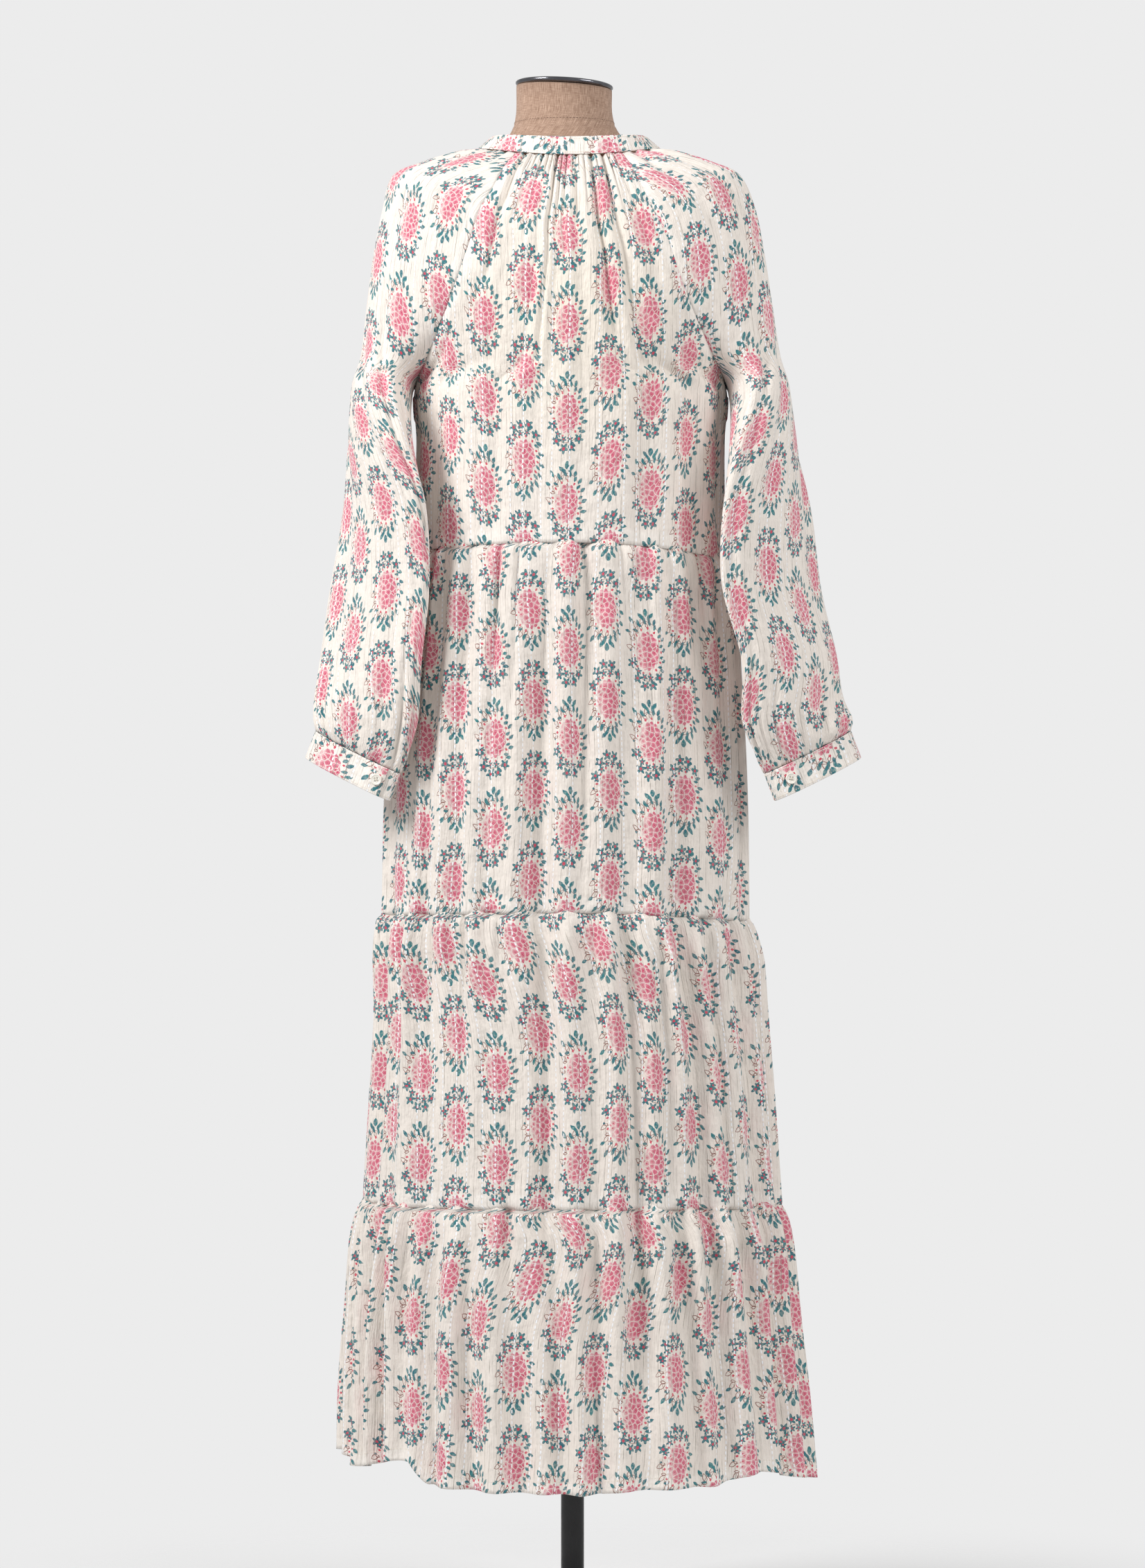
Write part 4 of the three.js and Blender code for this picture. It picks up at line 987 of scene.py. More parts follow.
# %% The six halves of the skirt as cloth
HEM_DEPTH = 12
TIER_GRIDS = {}
for k, tier in enumerate(TIERS):
    for side in ("back", "front"):
        start = 0.5 if side == "back" else 0.0
        share = start + np.linspace(0, 0.5, TIER_COLUMNS[side] + 1) * (1 - 1e-9)
        points = tier_points(k, share, ROW_SPACING[side])
        last = k == len(TIERS) - 1
        allowance = HEM_DEPTH if last else SEAM_ALLOWANCE
        layers = np.maximum(
            doubled_near(from_bottom(points), allowance),
            doubled_near(seam_distance(points), RAGLAN_ALLOWANCE),
        )
        name = f"{tier['name']}_{side}"
        widths = np.full(len(points), float(tier["flat"]))
        flat = cloth_map(points, widths, *PRINT_SHIFT[tier["name"]])
        pieces[name] = thicken(grid_object(name + "_cloth", points, flat, layers))
        TIER_GRIDS[name] = points
        keep_cut(name, points, widths)

# %% [markdown]
# ## The collar and the cuffs
# These are folded bands of cloth, thicker than the rest. Each is a long strip whose section is a thin
# rounded rectangle, swept along its seam. The collar is open over the slit, and each cuff closes over
# itself beside its button. A little unevenness along the strip is what the stitching does to it.

# %% A folded band
BAND = 1.8
EDGE_STEPS = 4


def band_section(height, wall, steps):
    """Points of a rounded strip's section, as distance down the band and out of it, all the way round."""
    r = wall / 2
    straight = np.linspace(r, height - r, steps)
    turn = np.linspace(0, np.pi, EDGE_STEPS + 2)[1:-1]
    outer = np.stack([straight, np.zeros(steps)], axis=1)
    lower = np.stack([height - r + r * np.sin(turn), -r + r * np.cos(turn)], axis=1)
    inner = np.stack([straight[::-1], np.full(steps, -wall)], axis=1)
    upper = np.stack([r - r * np.sin(turn), -r - r * np.cos(turn)], axis=1)
    return np.concatenate([outer, lower, inner, upper])


def band_object(name, place, stations, height, length, shift, steps=9):
    """A closed strip. place(station, down, out) gives points, and stations run from 0 to 1 along it."""
    section = band_section(height, BAND, steps)
    section = np.concatenate([section, section[:1]])
    points = np.array([place(stations, down, out) for down, out in section])
    u = stations * length + shift[0]
    v = -lengths_along(section[None, :, :], 1)[0] + shift[1]
    flat = np.stack(np.broadcast_arrays(u[None, :], v[:, None]), axis=-1) * MM
    made = grid_object(name, points, flat, np.ones(points.shape[:2]))
    shape = bmesh.new()
    shape.from_mesh(made.data)
    bmesh.ops.remove_doubles(shape, verts=shape.verts, dist=0.001 * MM)
    loose = [e for e in shape.edges if e.is_boundary]
    bmesh.ops.holes_fill(shape, edges=loose, sides=0)
    shape.to_mesh(made.data)
    shape.free()
    return made


def stitched_wave(stations, seed, depth=0.28, count=34):
    """The small puckers of a stitched band."""
    index, phase = gather_phase(stations, uneven_edges(count, seed, 0.5, 1.5))
    return np.sin(2 * np.pi * phase) * depth * (0.3 + chance(index, seed + 1))


print("section points:", len(band_section(20, BAND, 9)))

# %% The collar
COLLAR = {"height": 19.5, "back_lean": 4, "side_lean": 15, "front_lean": 7, "columns": 190, "out": 0.4}
COLLAR_OPEN = math.asin((SLIT["top"] + 1) / NECK["half"])
COLLAR_ARC = 2 * math.pi - 2 * COLLAR_OPEN


def collar_point(angle, up):
    """A point of the band's own surface, up from its seam in millimetres."""
    c, s = np.cos(angle), np.sin(angle)
    lean = mix(np.where(s < 0, COLLAR["back_lean"], COLLAR["front_lean"]), COLLAR["side_lean"], c * c)
    rise = np.sqrt(COLLAR["height"] ** 2 - lean**2)
    share = up / COLLAR["height"]
    return neck_point(angle, lean * share, SEAM_GAP * 2 + rise * share)


def collar_place(stations, down, out):
    angle = math.pi / 2 + COLLAR_OPEN + stations * COLLAR_ARC
    up = COLLAR["height"] - down
    point = collar_point(angle, up)
    ahead = collar_point(angle + 0.01, up) - collar_point(angle - 0.01, up)
    lower = collar_point(angle, up - 1) - collar_point(angle, up + 1)
    normal = np.cross(lower, ahead)
    normal /= np.linalg.norm(normal, axis=1, keepdims=True)
    wave = stitched_wave(stations, 31) * smooth(up / 6) + 0.5 * stitched_wave(stations, 33, count=60)
    return point + normal * (COLLAR["out"] + out + wave)[:, None]


stations = np.linspace(0, 1, COLLAR["columns"] + 1)
collar_line = collar_place(stations, COLLAR["height"] / 2, 0)
collar_length = float(np.linalg.norm(np.diff(collar_line, axis=0), axis=1).sum())
pieces["collar_band"] = band_object(
    "collar_band_cloth", collar_place, stations, COLLAR["height"], collar_length, (12, 25)
)
print("collar length:", round(collar_length), "mm")

# %% The cuffs
CUFF = {"height": 30, "columns": 110, "overlap": 0.07, "outward": 0.38, "out": 0.3}
CUFF_START = {"left": 0.16, "right": -0.28}
CUFF_SPAN = 2 + 2 * CUFF["overlap"]
LAST_SLEEVE_ROW = UNDERARM_ROW + len(SLEEVES["left"])


def cuff_place(side, t, down, out):
    """Points of a cuff: t runs round it as on the sleeve, and down and out are in millimetres."""
    turn = 1 if side == "right" else -1
    point = sleeve_row(side, LAST_SLEEVE_ROW, t)
    ahead = sleeve_row(side, LAST_SLEEVE_ROW, t + 0.01) - sleeve_row(side, LAST_SLEEVE_ROW, t - 0.01)
    axis = np.array([turn * CUFF["outward"], 0, -1])
    axis = axis / np.linalg.norm(axis)
    normal = np.cross(axis, ahead)
    normal /= np.linalg.norm(normal, axis=1, keepdims=True)
    return point + axis * (2 * SEAM_GAP + down) + normal * np.reshape(out, (-1, 1))


def cuff_band(side):
    """The cuff as a band that lies over its own start at its end."""

    def place(stations, down, out):
        s = stations * CUFF_SPAN
        lap = (BAND + SEAM_GAP) * smooth((s - (2 - CUFF["overlap"])) / CUFF["overlap"])
        wave = stitched_wave(stations, 41 if side == "left" else 43, 0.3, 26)
        return cuff_place(side, CUFF_START[side] + s, down, CUFF["out"] + out + lap + wave)

    return place


cuff_lengths = {}
for side in SLEEVES:
    stations = np.linspace(0, 1, CUFF["columns"] + 1)
    line = cuff_band(side)(stations, CUFF["height"] / 2, 0)
    cuff_lengths[side] = float(np.linalg.norm(np.diff(line, axis=0), axis=1).sum())
    pieces["cuff_" + side] = band_object(
        f"cuff_{side}_cloth", cuff_band(side), stations, CUFF["height"], cuff_lengths[side], (8, 30)
    )
print("cuff lengths:", {side: round(length) for side, length in cuff_lengths.items()}, "mm")

# %% [markdown]
# ## Turned pieces
# Buttons, the metal cap, the flange, the pole and the base are all round. Each is one outline turned about an
# axis, with its edges rounded in the outline itself, so that they catch the light.


# %% Turn an outline
def turned(name, outline, sides, place=None, up=(0, 0, 1)):
    """A closed solid from an outline of (radius, height) in millimetres, from bottom to top."""
    angle = np.linspace(0, 2 * np.pi, sides, endpoint=False)
    ring = np.stack([np.cos(angle), np.sin(angle)], axis=1)
    verts, faces = [(0, 0, outline[0][1])], []
    for radius, height in outline[1:-1]:
        verts += [(radius * c, radius * s, height) for c, s in ring]
    verts.append((0, 0, outline[-1][1]))
    rows = len(outline) - 2
    for i in range(sides):
        following = (i + 1) % sides
        faces.append((0, 1 + following, 1 + i))
        for j in range(rows - 1):
            a, b = 1 + j * sides, 1 + (j + 1) * sides
            faces.append((a + i, a + following, b + following, b + i))
        top = 1 + (rows - 1) * sides
        faces.append((top + i, top + following, len(verts) - 1))
    points = np.array(verts, float)
    turn = Vector((0, 0, 1)).rotation_difference(Vector(up)).to_matrix()
    points = points @ np.array(turn).T + (np.zeros(3) if place is None else np.asarray(place))
    mesh = bpy.data.meshes.new(name)
    mesh.from_pydata((points * MM).tolist(), [], faces)
    mesh.polygons.foreach_set("use_smooth", [True] * len(mesh.polygons))
    made = bpy.data.objects.new(name, mesh)
    bpy.context.scene.collection.objects.link(made)
    return made


def rounded(corners, radius, steps=4):
    """Rounds each corner of an outline."""
    made = [corners[0]]
    for before, corner, after in zip(corners, corners[1:], corners[2:]):
        corner, before, after = (np.array(p, float) for p in (corner, before, after))
        to_before, to_after = before - corner, after - corner
        reach = min(radius, 0.45 * np.linalg.norm(to_before), 0.45 * np.linalg.norm(to_after))
        a = corner + to_before / np.linalg.norm(to_before) * reach
        b = corner + to_after / np.linalg.norm(to_after) * reach
        for k in range(steps + 1):
            t = k / steps
            made.append(tuple((1 - t) ** 2 * a + 2 * t * (1 - t) * corner + t * t * b))
    made.append(corners[-1])
    return made


print("rounded outline points:", len(rounded([(0, 0), (1, 0), (1, 1), (0, 1)], 0.2)))

# %% Buttons
BUTTON = {"radius": 5.75, "thick": 2.4, "rim": 0.6, "hole": 0.75, "spread": 1.7}
button_outline = rounded(
    [
        (0, 0),
        (BUTTON["radius"] - BUTTON["rim"], 0),
        (BUTTON["radius"], BUTTON["rim"]),
        (BUTTON["radius"], BUTTON["thick"] - BUTTON["rim"]),
        (BUTTON["radius"] - BUTTON["rim"], BUTTON["thick"]),
        (BUTTON["radius"] - 3 * BUTTON["rim"], BUTTON["thick"] - BUTTON["rim"]),
        (0, BUTTON["thick"] - BUTTON["rim"]),
    ],
    0.4,
)


def button_seat(side):
    """Where a button's underside lies, and the way it faces."""
    t = np.array([CUFF_START[side] + CUFF["overlap"]])
    above_lap = CUFF["out"] + 2.2 + SEAM_GAP
    seat = cuff_place(side, t, CUFF["height"] / 2, above_lap)[0]
    facing = cuff_place(side, t, CUFF["height"] / 2, 10)[0] - cuff_place(side, t, CUFF["height"] / 2, 0)[0]
    facing /= np.linalg.norm(facing)
    return seat + facing * SEAM_GAP, facing


def plain_mesh(piece):
    """Replaces a piece's mesh with what its modifiers make of it, and takes them off."""
    made = bpy.data.meshes.new_from_object(piece.evaluated_get(bpy.context.evaluated_depsgraph_get()))
    piece.modifiers.clear()
    piece.data = made
    return piece


def button(side):
    seat, facing = button_seat(side)
    made = turned(f"shell_button_{side}", button_outline, 48, seat, facing)
    turn = np.array(Vector((0, 0, 1)).rotation_difference(Vector(facing)).to_matrix())
    for k in range(4):
        angle = math.pi / 4 + k * math.pi / 2
        local = np.array([math.cos(angle), math.sin(angle), 0]) * BUTTON["spread"]
        hole_outline = [(0, -2), (BUTTON["hole"], -2), (BUTTON["hole"], 5), (0, 5)]
        hole = turned("button_hole", hole_outline, 16, seat + turn @ local, facing)
        cut = made.modifiers.new("hole", "BOOLEAN")
        cut.operation = "DIFFERENCE"
        cut.object = hole
        plain_mesh(made)
        bpy.data.objects.remove(hole)
    return made


for side in SLEEVES:
    pieces["cuff_button_" + side] = button(side)
    print("button", side, "faces:", len(pieces["cuff_button_" + side].data.polygons))

# %% The form's metal, the pole and the base
FORM = [
    # x, half, back, front, side z, back z, front z
    (0, 150, 92, 92, 872, 872, 872),
    (0, 159, 101, 99, 884, 884, 884),
    (0, 167, 107, 103, 945, 945, 945),
    (0, 158, 101, 99, 1010, 1010, 1010),
    (-1, 138, 88, 92, 1070, 1070, 1070),
    (-1, 121, 78, 87, 1125, 1125, 1125),
    (-2, 127, 84, 100, 1190, 1185, 1180),
    (-3, 140, 92, 118, 1260, 1245, 1236),
    (-4, 151, 98, 123, 1335, 1305, 1290),
    (-5, 161, 102, 121, 1405, 1360, 1338),
    (-6, 168, 103, 114, 1460, 1405, 1376),
    (-6, 169, 100, 108, 1494, 1440, 1403),
    (-6, 160, 95, 103, 1509, 1462, 1422),
    (-5.5, 142, 89, 93, 1520, 1482, 1440),
    (-5, 116, 78, 79, 1528.2, 1504, 1462),
    (-5, 92, 63, 71, 1535, 1520.5, 1482),
    (-6, 70, 54, 58, 1542, 1534, 1502),
    (-8, 56, 50, 51, 1556, 1550, 1526),
    (-8.6, 50, 47, 47, 1575, 1573, 1562),
    (-8.6, 49.5, 47, 47, 1602, 1602, 1602),
]
NECK_TILT = 0.055
CAP = {"radius": 50.5, "lip": 2.2, "height": 5, "dome": 2.5}
FLANGE = {"radius": 34, "thick": 6, "neck": 17, "drop": 40}
POLE_RADIUS = 11.9
BASE = {"radius": 180, "thick": 9, "hub": 30, "hub_height": 42}

cap_outline = rounded(
    [
        (0, 0),
        (CAP["radius"] - CAP["lip"], 0),
        (CAP["radius"], CAP["height"] * 0.3),
        (CAP["radius"], CAP["height"] * 0.75),
        (CAP["radius"] - CAP["lip"], CAP["height"]),
        (CAP["radius"] * 0.6, CAP["height"] + CAP["dome"] * 0.7),
        (0, CAP["height"] + CAP["dome"]),
    ],
    1.6,
    6,
)
neck_top = FORM[-1]
cap_place = (neck_top[0], 0, neck_top[4] + 2 * SEAM_GAP)
cap_up = (math.sin(math.atan(NECK_TILT)), 0, math.cos(math.atan(NECK_TILT)))
pieces["neck_cap"] = turned("chrome_neck_cap", cap_outline, 128, cap_place, cap_up)

flange_top = FORM[0][4] - SEAM_GAP
flange_outline = [
    (0, flange_top - FLANGE["drop"]),
    (FLANGE["neck"], flange_top - FLANGE["drop"]),
    (FLANGE["neck"], flange_top - FLANGE["thick"] * 2),
    (FLANGE["radius"], flange_top - FLANGE["thick"]),
    (FLANGE["radius"], flange_top),
    (0, flange_top),
]
pieces["form_flange"] = turned("black_form_flange", rounded(flange_outline, 1.5), 64)

pole_bottom, pole_top = BASE["hub_height"] + SEAM_GAP, flange_top - FLANGE["drop"] - SEAM_GAP
pole_outline = [(0, pole_bottom), (POLE_RADIUS, pole_bottom), (POLE_RADIUS, pole_top), (0, pole_top)]
pieces["stand_pole"] = turned("black_stand_pole", rounded(pole_outline, 1.0), 64)

base_outline = [
    (0, 0),
    (BASE["radius"], 0),
    (BASE["radius"], BASE["thick"] * 0.6),
    (BASE["radius"] - 4, BASE["thick"]),
    (BASE["hub"], BASE["thick"] + 1),
    (BASE["hub"] * 0.62, BASE["hub_height"] * 0.55),
    (BASE["hub"] * 0.6, BASE["hub_height"]),
    (0, BASE["hub_height"]),
]
pieces["stand_base"] = turned("black_stand_base", rounded(base_outline, 3.0), 128)
print("turned pieces:", [n for n in pieces if n.startswith(("neck", "form", "stand"))])

# %% [markdown]
# ## The linen form
# The form is padded and covered with beige linen, pulled smooth. Only its neck shows. A stitched seam
# runs round the neck, and under it the linen is eased in with a few shallow dents, because it has to turn
# out over the shoulders there.

# %% The form's skin
FORM_SIDES = 96
FORM_STEPS = [3, 6, 6, 6, 6, 6, 6, 6, 6, 6, 5, 4, 4, 4, 4, 4, 5, 16, 8]
NECK_SEAM = {"z": 1563, "depth": 0.55, "reach": 1.3}
NECK_DENTS = [
    # angle in degrees, half width in degrees, depth, height of its middle
    (-62, 4.5, 0.9, 1551),
    (-50, 4, 0.7, 1550),
    (-80, 5, 0.5, 1552),
    (-112, 5, 0.5, 1552),
    (-135, 5, 0.6, 1551),
    (-20, 5, 0.6, 1550),
    (30, 6, 0.6, 1548),
    (75, 6, 0.5, 1545),
    (110, 6, 0.6, 1545),
    (155, 6, 0.6, 1549),
]
FORM_SHRINK = 0.006  # keeps the smooth skin inside the solid's flat-sided one, under the cloth

form_rows, form_places = between_rows(np.array(FORM, float), FORM_STEPS)
angle = np.linspace(0, 2 * np.pi, FORM_SIDES, endpoint=False)
c, s = np.cos(angle), np.sin(angle)
form_points = []
for (x, half, back, front_half, side_z, back_z, front_z), place in zip(form_rows, form_places):
    z = mix(side_z, np.where(s < 0, back_z, front_z), s * s)
    z = z - NECK_TILT * half * c * smooth(place - (len(FORM) - 2))
    inwards = NECK_SEAM["depth"] * np.exp(-(((z - NECK_SEAM["z"]) / NECK_SEAM["reach"]) ** 2))
    for middle, reach, depth, height in NECK_DENTS:
        off = (np.degrees(angle) - middle + 180) % 360 - 180
        inwards = inwards + depth * np.exp(-((off / reach) ** 2) - ((z - height) / 6) ** 2)
    shrink = 1 - FORM_SHRINK * (1 - smooth(place - 15))
    deep = np.where(s < 0, back, front_half)
    form_points.append(
        np.stack([x + (half * shrink - inwards) * c, (deep * shrink - inwards) * s, z], axis=1)
    )
form_points = np.array(form_points)[::-1]
closed = np.concatenate([form_points, form_points[:, :1]], axis=1)
form_flat = cloth_map(closed, lengths_along(closed, 1)[:, -1])
form = grid_object("linen_form", closed, form_flat)
shape = bmesh.new()
shape.from_mesh(form.data)
bmesh.ops.remove_doubles(shape, verts=shape.verts, dist=0.001 * MM)
ends = bmesh.ops.holes_fill(shape, edges=[e for e in shape.edges if e.is_boundary], sides=0)["faces"]
bmesh.ops.triangulate(shape, faces=ends)
shape.to_mesh(form.data)
shape.free()
pieces["form_torso"] = form
print("linen form faces:", len(form.data.polygons))

# %% [markdown]
# ## Stitches
# A row of stitches follows a seam, so Geometry Nodes make it: the seam line becomes a curve, points are
# set along it one stitch apart, and a short rounded thread is placed on each. The stitches are made a
# little longer than real ones, so that they show.

# %% The tree for a row of stitches
MATH = "ShaderNodeMath"
NOISE = "ShaderNodeTexNoise"
RANGE = "ShaderNodeMapRange"
VECTOR = "ShaderNodeVectorMath"
STITCH_INPUTS = [
    # name, kind, default
    ("Pitch", "NodeSocketFloat", 0.003),
    ("Stitch Length", "NodeSocketFloat", 0.002),
    ("Thread Radius", "NodeSocketFloat", 0.0003),
    ("Thread", "NodeSocketMaterial", None),
]


def stitch_tree():
    tree = bpy.data.node_groups.new("row_of_stitches", "GeometryNodeTree")
    tree.interface.new_socket("Seam Line", in_out="INPUT", socket_type="NodeSocketGeometry")
    for name, kind, default in STITCH_INPUTS:
        socket = tree.interface.new_socket(name, in_out="INPUT", socket_type=kind)
        if default is not None:
            socket.default_value = default
    tree.interface.new_socket("Stitches", in_out="OUTPUT", socket_type="NodeSocketGeometry")
    given = node(tree, "NodeGroupInput").outputs
    line = node(tree, "GeometryNodeMeshToCurve", {"Mesh": given["Seam Line"]})
    spots = node(
        tree, "GeometryNodeCurveToPoints", {"Curve": line.outputs[0], "Length": given["Pitch"]}, mode="LENGTH"
    )
    ball = node(tree, "GeometryNodeMeshUVSphere", {"Segments": 6, "Rings": 5, "Radius": 1.0})
    half = node(tree, MATH, {0: given["Stitch Length"], 1: 0.5}, operation="MULTIPLY")
    size = node(
        tree,
        "ShaderNodeCombineXYZ",
        {"X": given["Thread Radius"], "Y": given["Thread Radius"], "Z": half.outputs[0]},
    )
    thread = node(tree, "GeometryNodeTransform", {"Geometry": ball.outputs["Mesh"], "Scale": size.outputs[0]})
    uneven = node(tree, "FunctionNodeRandomValue", {"Seed": 11}, data_type="FLOAT")
    uneven.inputs[2].default_value = 0.85
    uneven.inputs[3].default_value = 1.1
    rows = node(
        tree,
        "GeometryNodeInstanceOnPoints",
        {
            "Points": spots.outputs["Points"],
            "Instance": thread.outputs[0],
            "Rotation": spots.outputs["Rotation"],
            "Scale": uneven.outputs[1],
        },
    )
    real = node(tree, "GeometryNodeRealizeInstances", {0: rows.outputs[0]})
    soft = node(tree, "GeometryNodeSetShadeSmooth", {0: real.outputs[0]})
    finished = node(tree, "GeometryNodeSetMaterial", {0: soft.outputs[0], "Material": given["Thread"]})
    node(tree, "NodeGroupOutput", {0: finished.outputs[0]})
    return tree


STITCHES = stitch_tree()
print("inputs of a row of stitches:", [s[0] for s in STITCH_INPUTS])


# %% Sew along a line
def sew(name, line, thread, pitch=2.6, length=1.9, radius=0.24):
    """A mesh of stitches along a line of points in millimetres."""
    mesh = bpy.data.meshes.new(name)
    mesh.from_pydata((np.asarray(line) * MM).tolist(), [(i, i + 1) for i in range(len(line) - 1)], [])
    made = bpy.data.objects.new(name, mesh)
    bpy.context.scene.collection.objects.link(made)
    rows = made.modifiers.new("stitches", "NODES")
    rows.node_group = STITCHES
    sizes = {
        "Pitch": pitch * MM,
        "Stitch Length": length * MM,
        "Thread Radius": radius * MM,
        "Thread": thread,
    }
    for item in STITCHES.interface.items_tree:
        if item.name in sizes:
            rows[item.identifier] = sizes[item.name]
    return plain_mesh(made)


def line_above_hem(points, distance, lift):
    """A line along a grid of cloth, at a distance above its last row and a little off its face."""
    up = from_bottom(points)
    raised = points + normals_of(points) * lift
    line = []
    for i in range(points.shape[1]):
        line.append([np.interp(distance, up[::-1, i], raised[::-1, i, k]) for k in range(3)])
    return np.array(line)


print("stitch pitch:", 2.6, "mm")

# %% [markdown]
# ## Printed cotton
# The cloth is a thin cream cotton with a crinkled surface. Silvery threads run down it as broken lines,
# with finer grey threads between them. The pattern is a traditional hand-block print: upright medallions
# in columns, each second column half a step lower and upside down. It is charted here from simple
# marks, such as leaves, drops and star flowers, set round ovals. Each mark is worked out from the flat
# cloth's own millimetres.

# %% Marks of the print
PRINT = {"column": 50.0, "row": 91.5}
SOFT_EDGE = (-0.16, 0.2)  # millimetres over which an ink's edge fades


def ring_of_marks():
    """A group that gives each point its place beside the nearest of the marks set round an oval."""
    tree = bpy.data.node_groups.new("ring_of_marks", "ShaderNodeTree")
    for name, kind in (
        ("Place", "NodeSocketVector"),
        ("Across", "NodeSocketFloat"),
        ("Along", "NodeSocketFloat"),
        ("Count", "NodeSocketFloat"),
        ("Turn", "NodeSocketFloat"),
        ("Tilt", "NodeSocketFloat"),
    ):
        tree.interface.new_socket(name, in_out="INPUT", socket_type=kind)
    tree.interface.new_socket("Beside", in_out="OUTPUT", socket_type="NodeSocketVector")
    tree.interface.new_socket("Number", in_out="OUTPUT", socket_type="NodeSocketFloat")
    given = node(tree, "NodeGroupInput").outputs
    radii = node(
        tree, "ShaderNodeCombineXYZ", {"X": given["Across"], "Y": given["Along"], "Z": 1.0}
    ).outputs[0]
    on_circle = node(tree, VECTOR, {0: given["Place"], 1: radii}, operation="DIVIDE").outputs[0]
    parts = node(tree, "ShaderNodeSeparateXYZ", {0: on_circle}).outputs
    angle = node(tree, MATH, {0: parts["Y"], 1: parts["X"]}, operation="ARCTAN2").outputs[0]
    turns = node(tree, MATH, {0: angle, 1: 1 / (2 * math.pi)}, operation="MULTIPLY").outputs[0]
    counted = node(
        tree, MATH, {0: turns, 1: given["Count"], 2: given["Turn"]}, operation="MULTIPLY_ADD"
    ).outputs[0]
    number = node(tree, MATH, {0: counted}, operation="FLOOR").outputs[0]
    middle = node(tree, MATH, {0: number, 1: given["Turn"]}, operation="SUBTRACT").outputs[0]
    middle = node(tree, MATH, {0: middle, 1: 0.5}, operation="ADD").outputs[0]
    middle = node(tree, MATH, {0: middle, 1: given["Count"]}, operation="DIVIDE").outputs[0]
    middle = node(tree, MATH, {0: middle, 1: 2 * math.pi}, operation="MULTIPLY").outputs[0]
    cosine = node(tree, MATH, {0: middle}, operation="COSINE").outputs[0]
    sine = node(tree, MATH, {0: middle}, operation="SINE").outputs[0]
    unit = node(tree, "ShaderNodeCombineXYZ", {"X": cosine, "Y": sine}).outputs[0]
    centre = node(tree, VECTOR, {0: unit, 1: radii}, operation="MULTIPLY").outputs[0]
    offset = node(tree, VECTOR, {0: given["Place"], 1: centre}, operation="SUBTRACT").outputs[0]
    rise = node(tree, MATH, {0: sine, 1: given["Across"]}, operation="MULTIPLY").outputs[0]
    run = node(tree, MATH, {0: cosine, 1: given["Along"]}, operation="MULTIPLY").outputs[0]
    outwards_angle = node(tree, MATH, {0: rise, 1: run}, operation="ARCTAN2").outputs[0]
    tilted = node(tree, MATH, {0: outwards_angle, 1: given["Tilt"]}, operation="ADD").outputs[0]
    back = node(tree, MATH, {0: tilted, 1: -1.0}, operation="MULTIPLY").outputs[0]
    turned_back = node(
        tree, "ShaderNodeVectorRotate", {"Vector": offset, "Angle": back}, rotation_type="Z_AXIS"
    ).outputs[0]
    node(tree, "NodeGroupOutput", {"Beside": turned_back, "Number": number})
    return tree


def leaf_mark():
    """A group for a pointed leaf that lies along X, with its fill and its outline."""
    tree = bpy.data.node_groups.new("leaf_mark", "ShaderNodeTree")
    for name, kind in (
        ("Place", "NodeSocketVector"),
        ("Half Length", "NodeSocketFloat"),
        ("Half Width", "NodeSocketFloat"),
    ):
        tree.interface.new_socket(name, in_out="INPUT", socket_type=kind)
    tree.interface.new_socket("Fill", in_out="OUTPUT", socket_type="NodeSocketFloat")
    tree.interface.new_socket("Outline", in_out="OUTPUT", socket_type="NodeSocketFloat")
    given = node(tree, "NodeGroupInput").outputs
    parts = node(tree, "ShaderNodeSeparateXYZ", {0: given["Place"]}).outputs
    share = node(tree, MATH, {0: parts["X"], 1: given["Half Length"]}, operation="DIVIDE").outputs[0]
    squared = node(tree, MATH, {0: share, 1: share}, operation="MULTIPLY").outputs[0]
    narrowed = node(tree, MATH, {0: 1.0, 1: squared}, operation="SUBTRACT").outputs[0]
    half = node(tree, MATH, {0: narrowed, 1: given["Half Width"]}, operation="MULTIPLY").outputs[0]
    off = node(tree, MATH, {0: parts["Y"]}, operation="ABSOLUTE").outputs[0]
    inside = node(tree, MATH, {0: half, 1: off}, operation="SUBTRACT").outputs[0]
    fill = node(tree, RANGE, {"Value": inside, "From Min": SOFT_EDGE[0], "From Max": SOFT_EDGE[1]}).outputs[0]
    from_edge = node(tree, MATH, {0: inside}, operation="ABSOLUTE").outputs[0]
    outline = node(
        tree,
        RANGE,
        {"Value": from_edge, "From Min": 0.5, "From Max": 0.2, "To Min": 0.0, "To Max": 1.0},
    ).outputs[0]
    node(tree, "NodeGroupOutput", {"Fill": fill, "Outline": outline})
    return tree


RING = ring_of_marks()
LEAF = leaf_mark()
print("mark groups:", RING.name, LEAF.name)

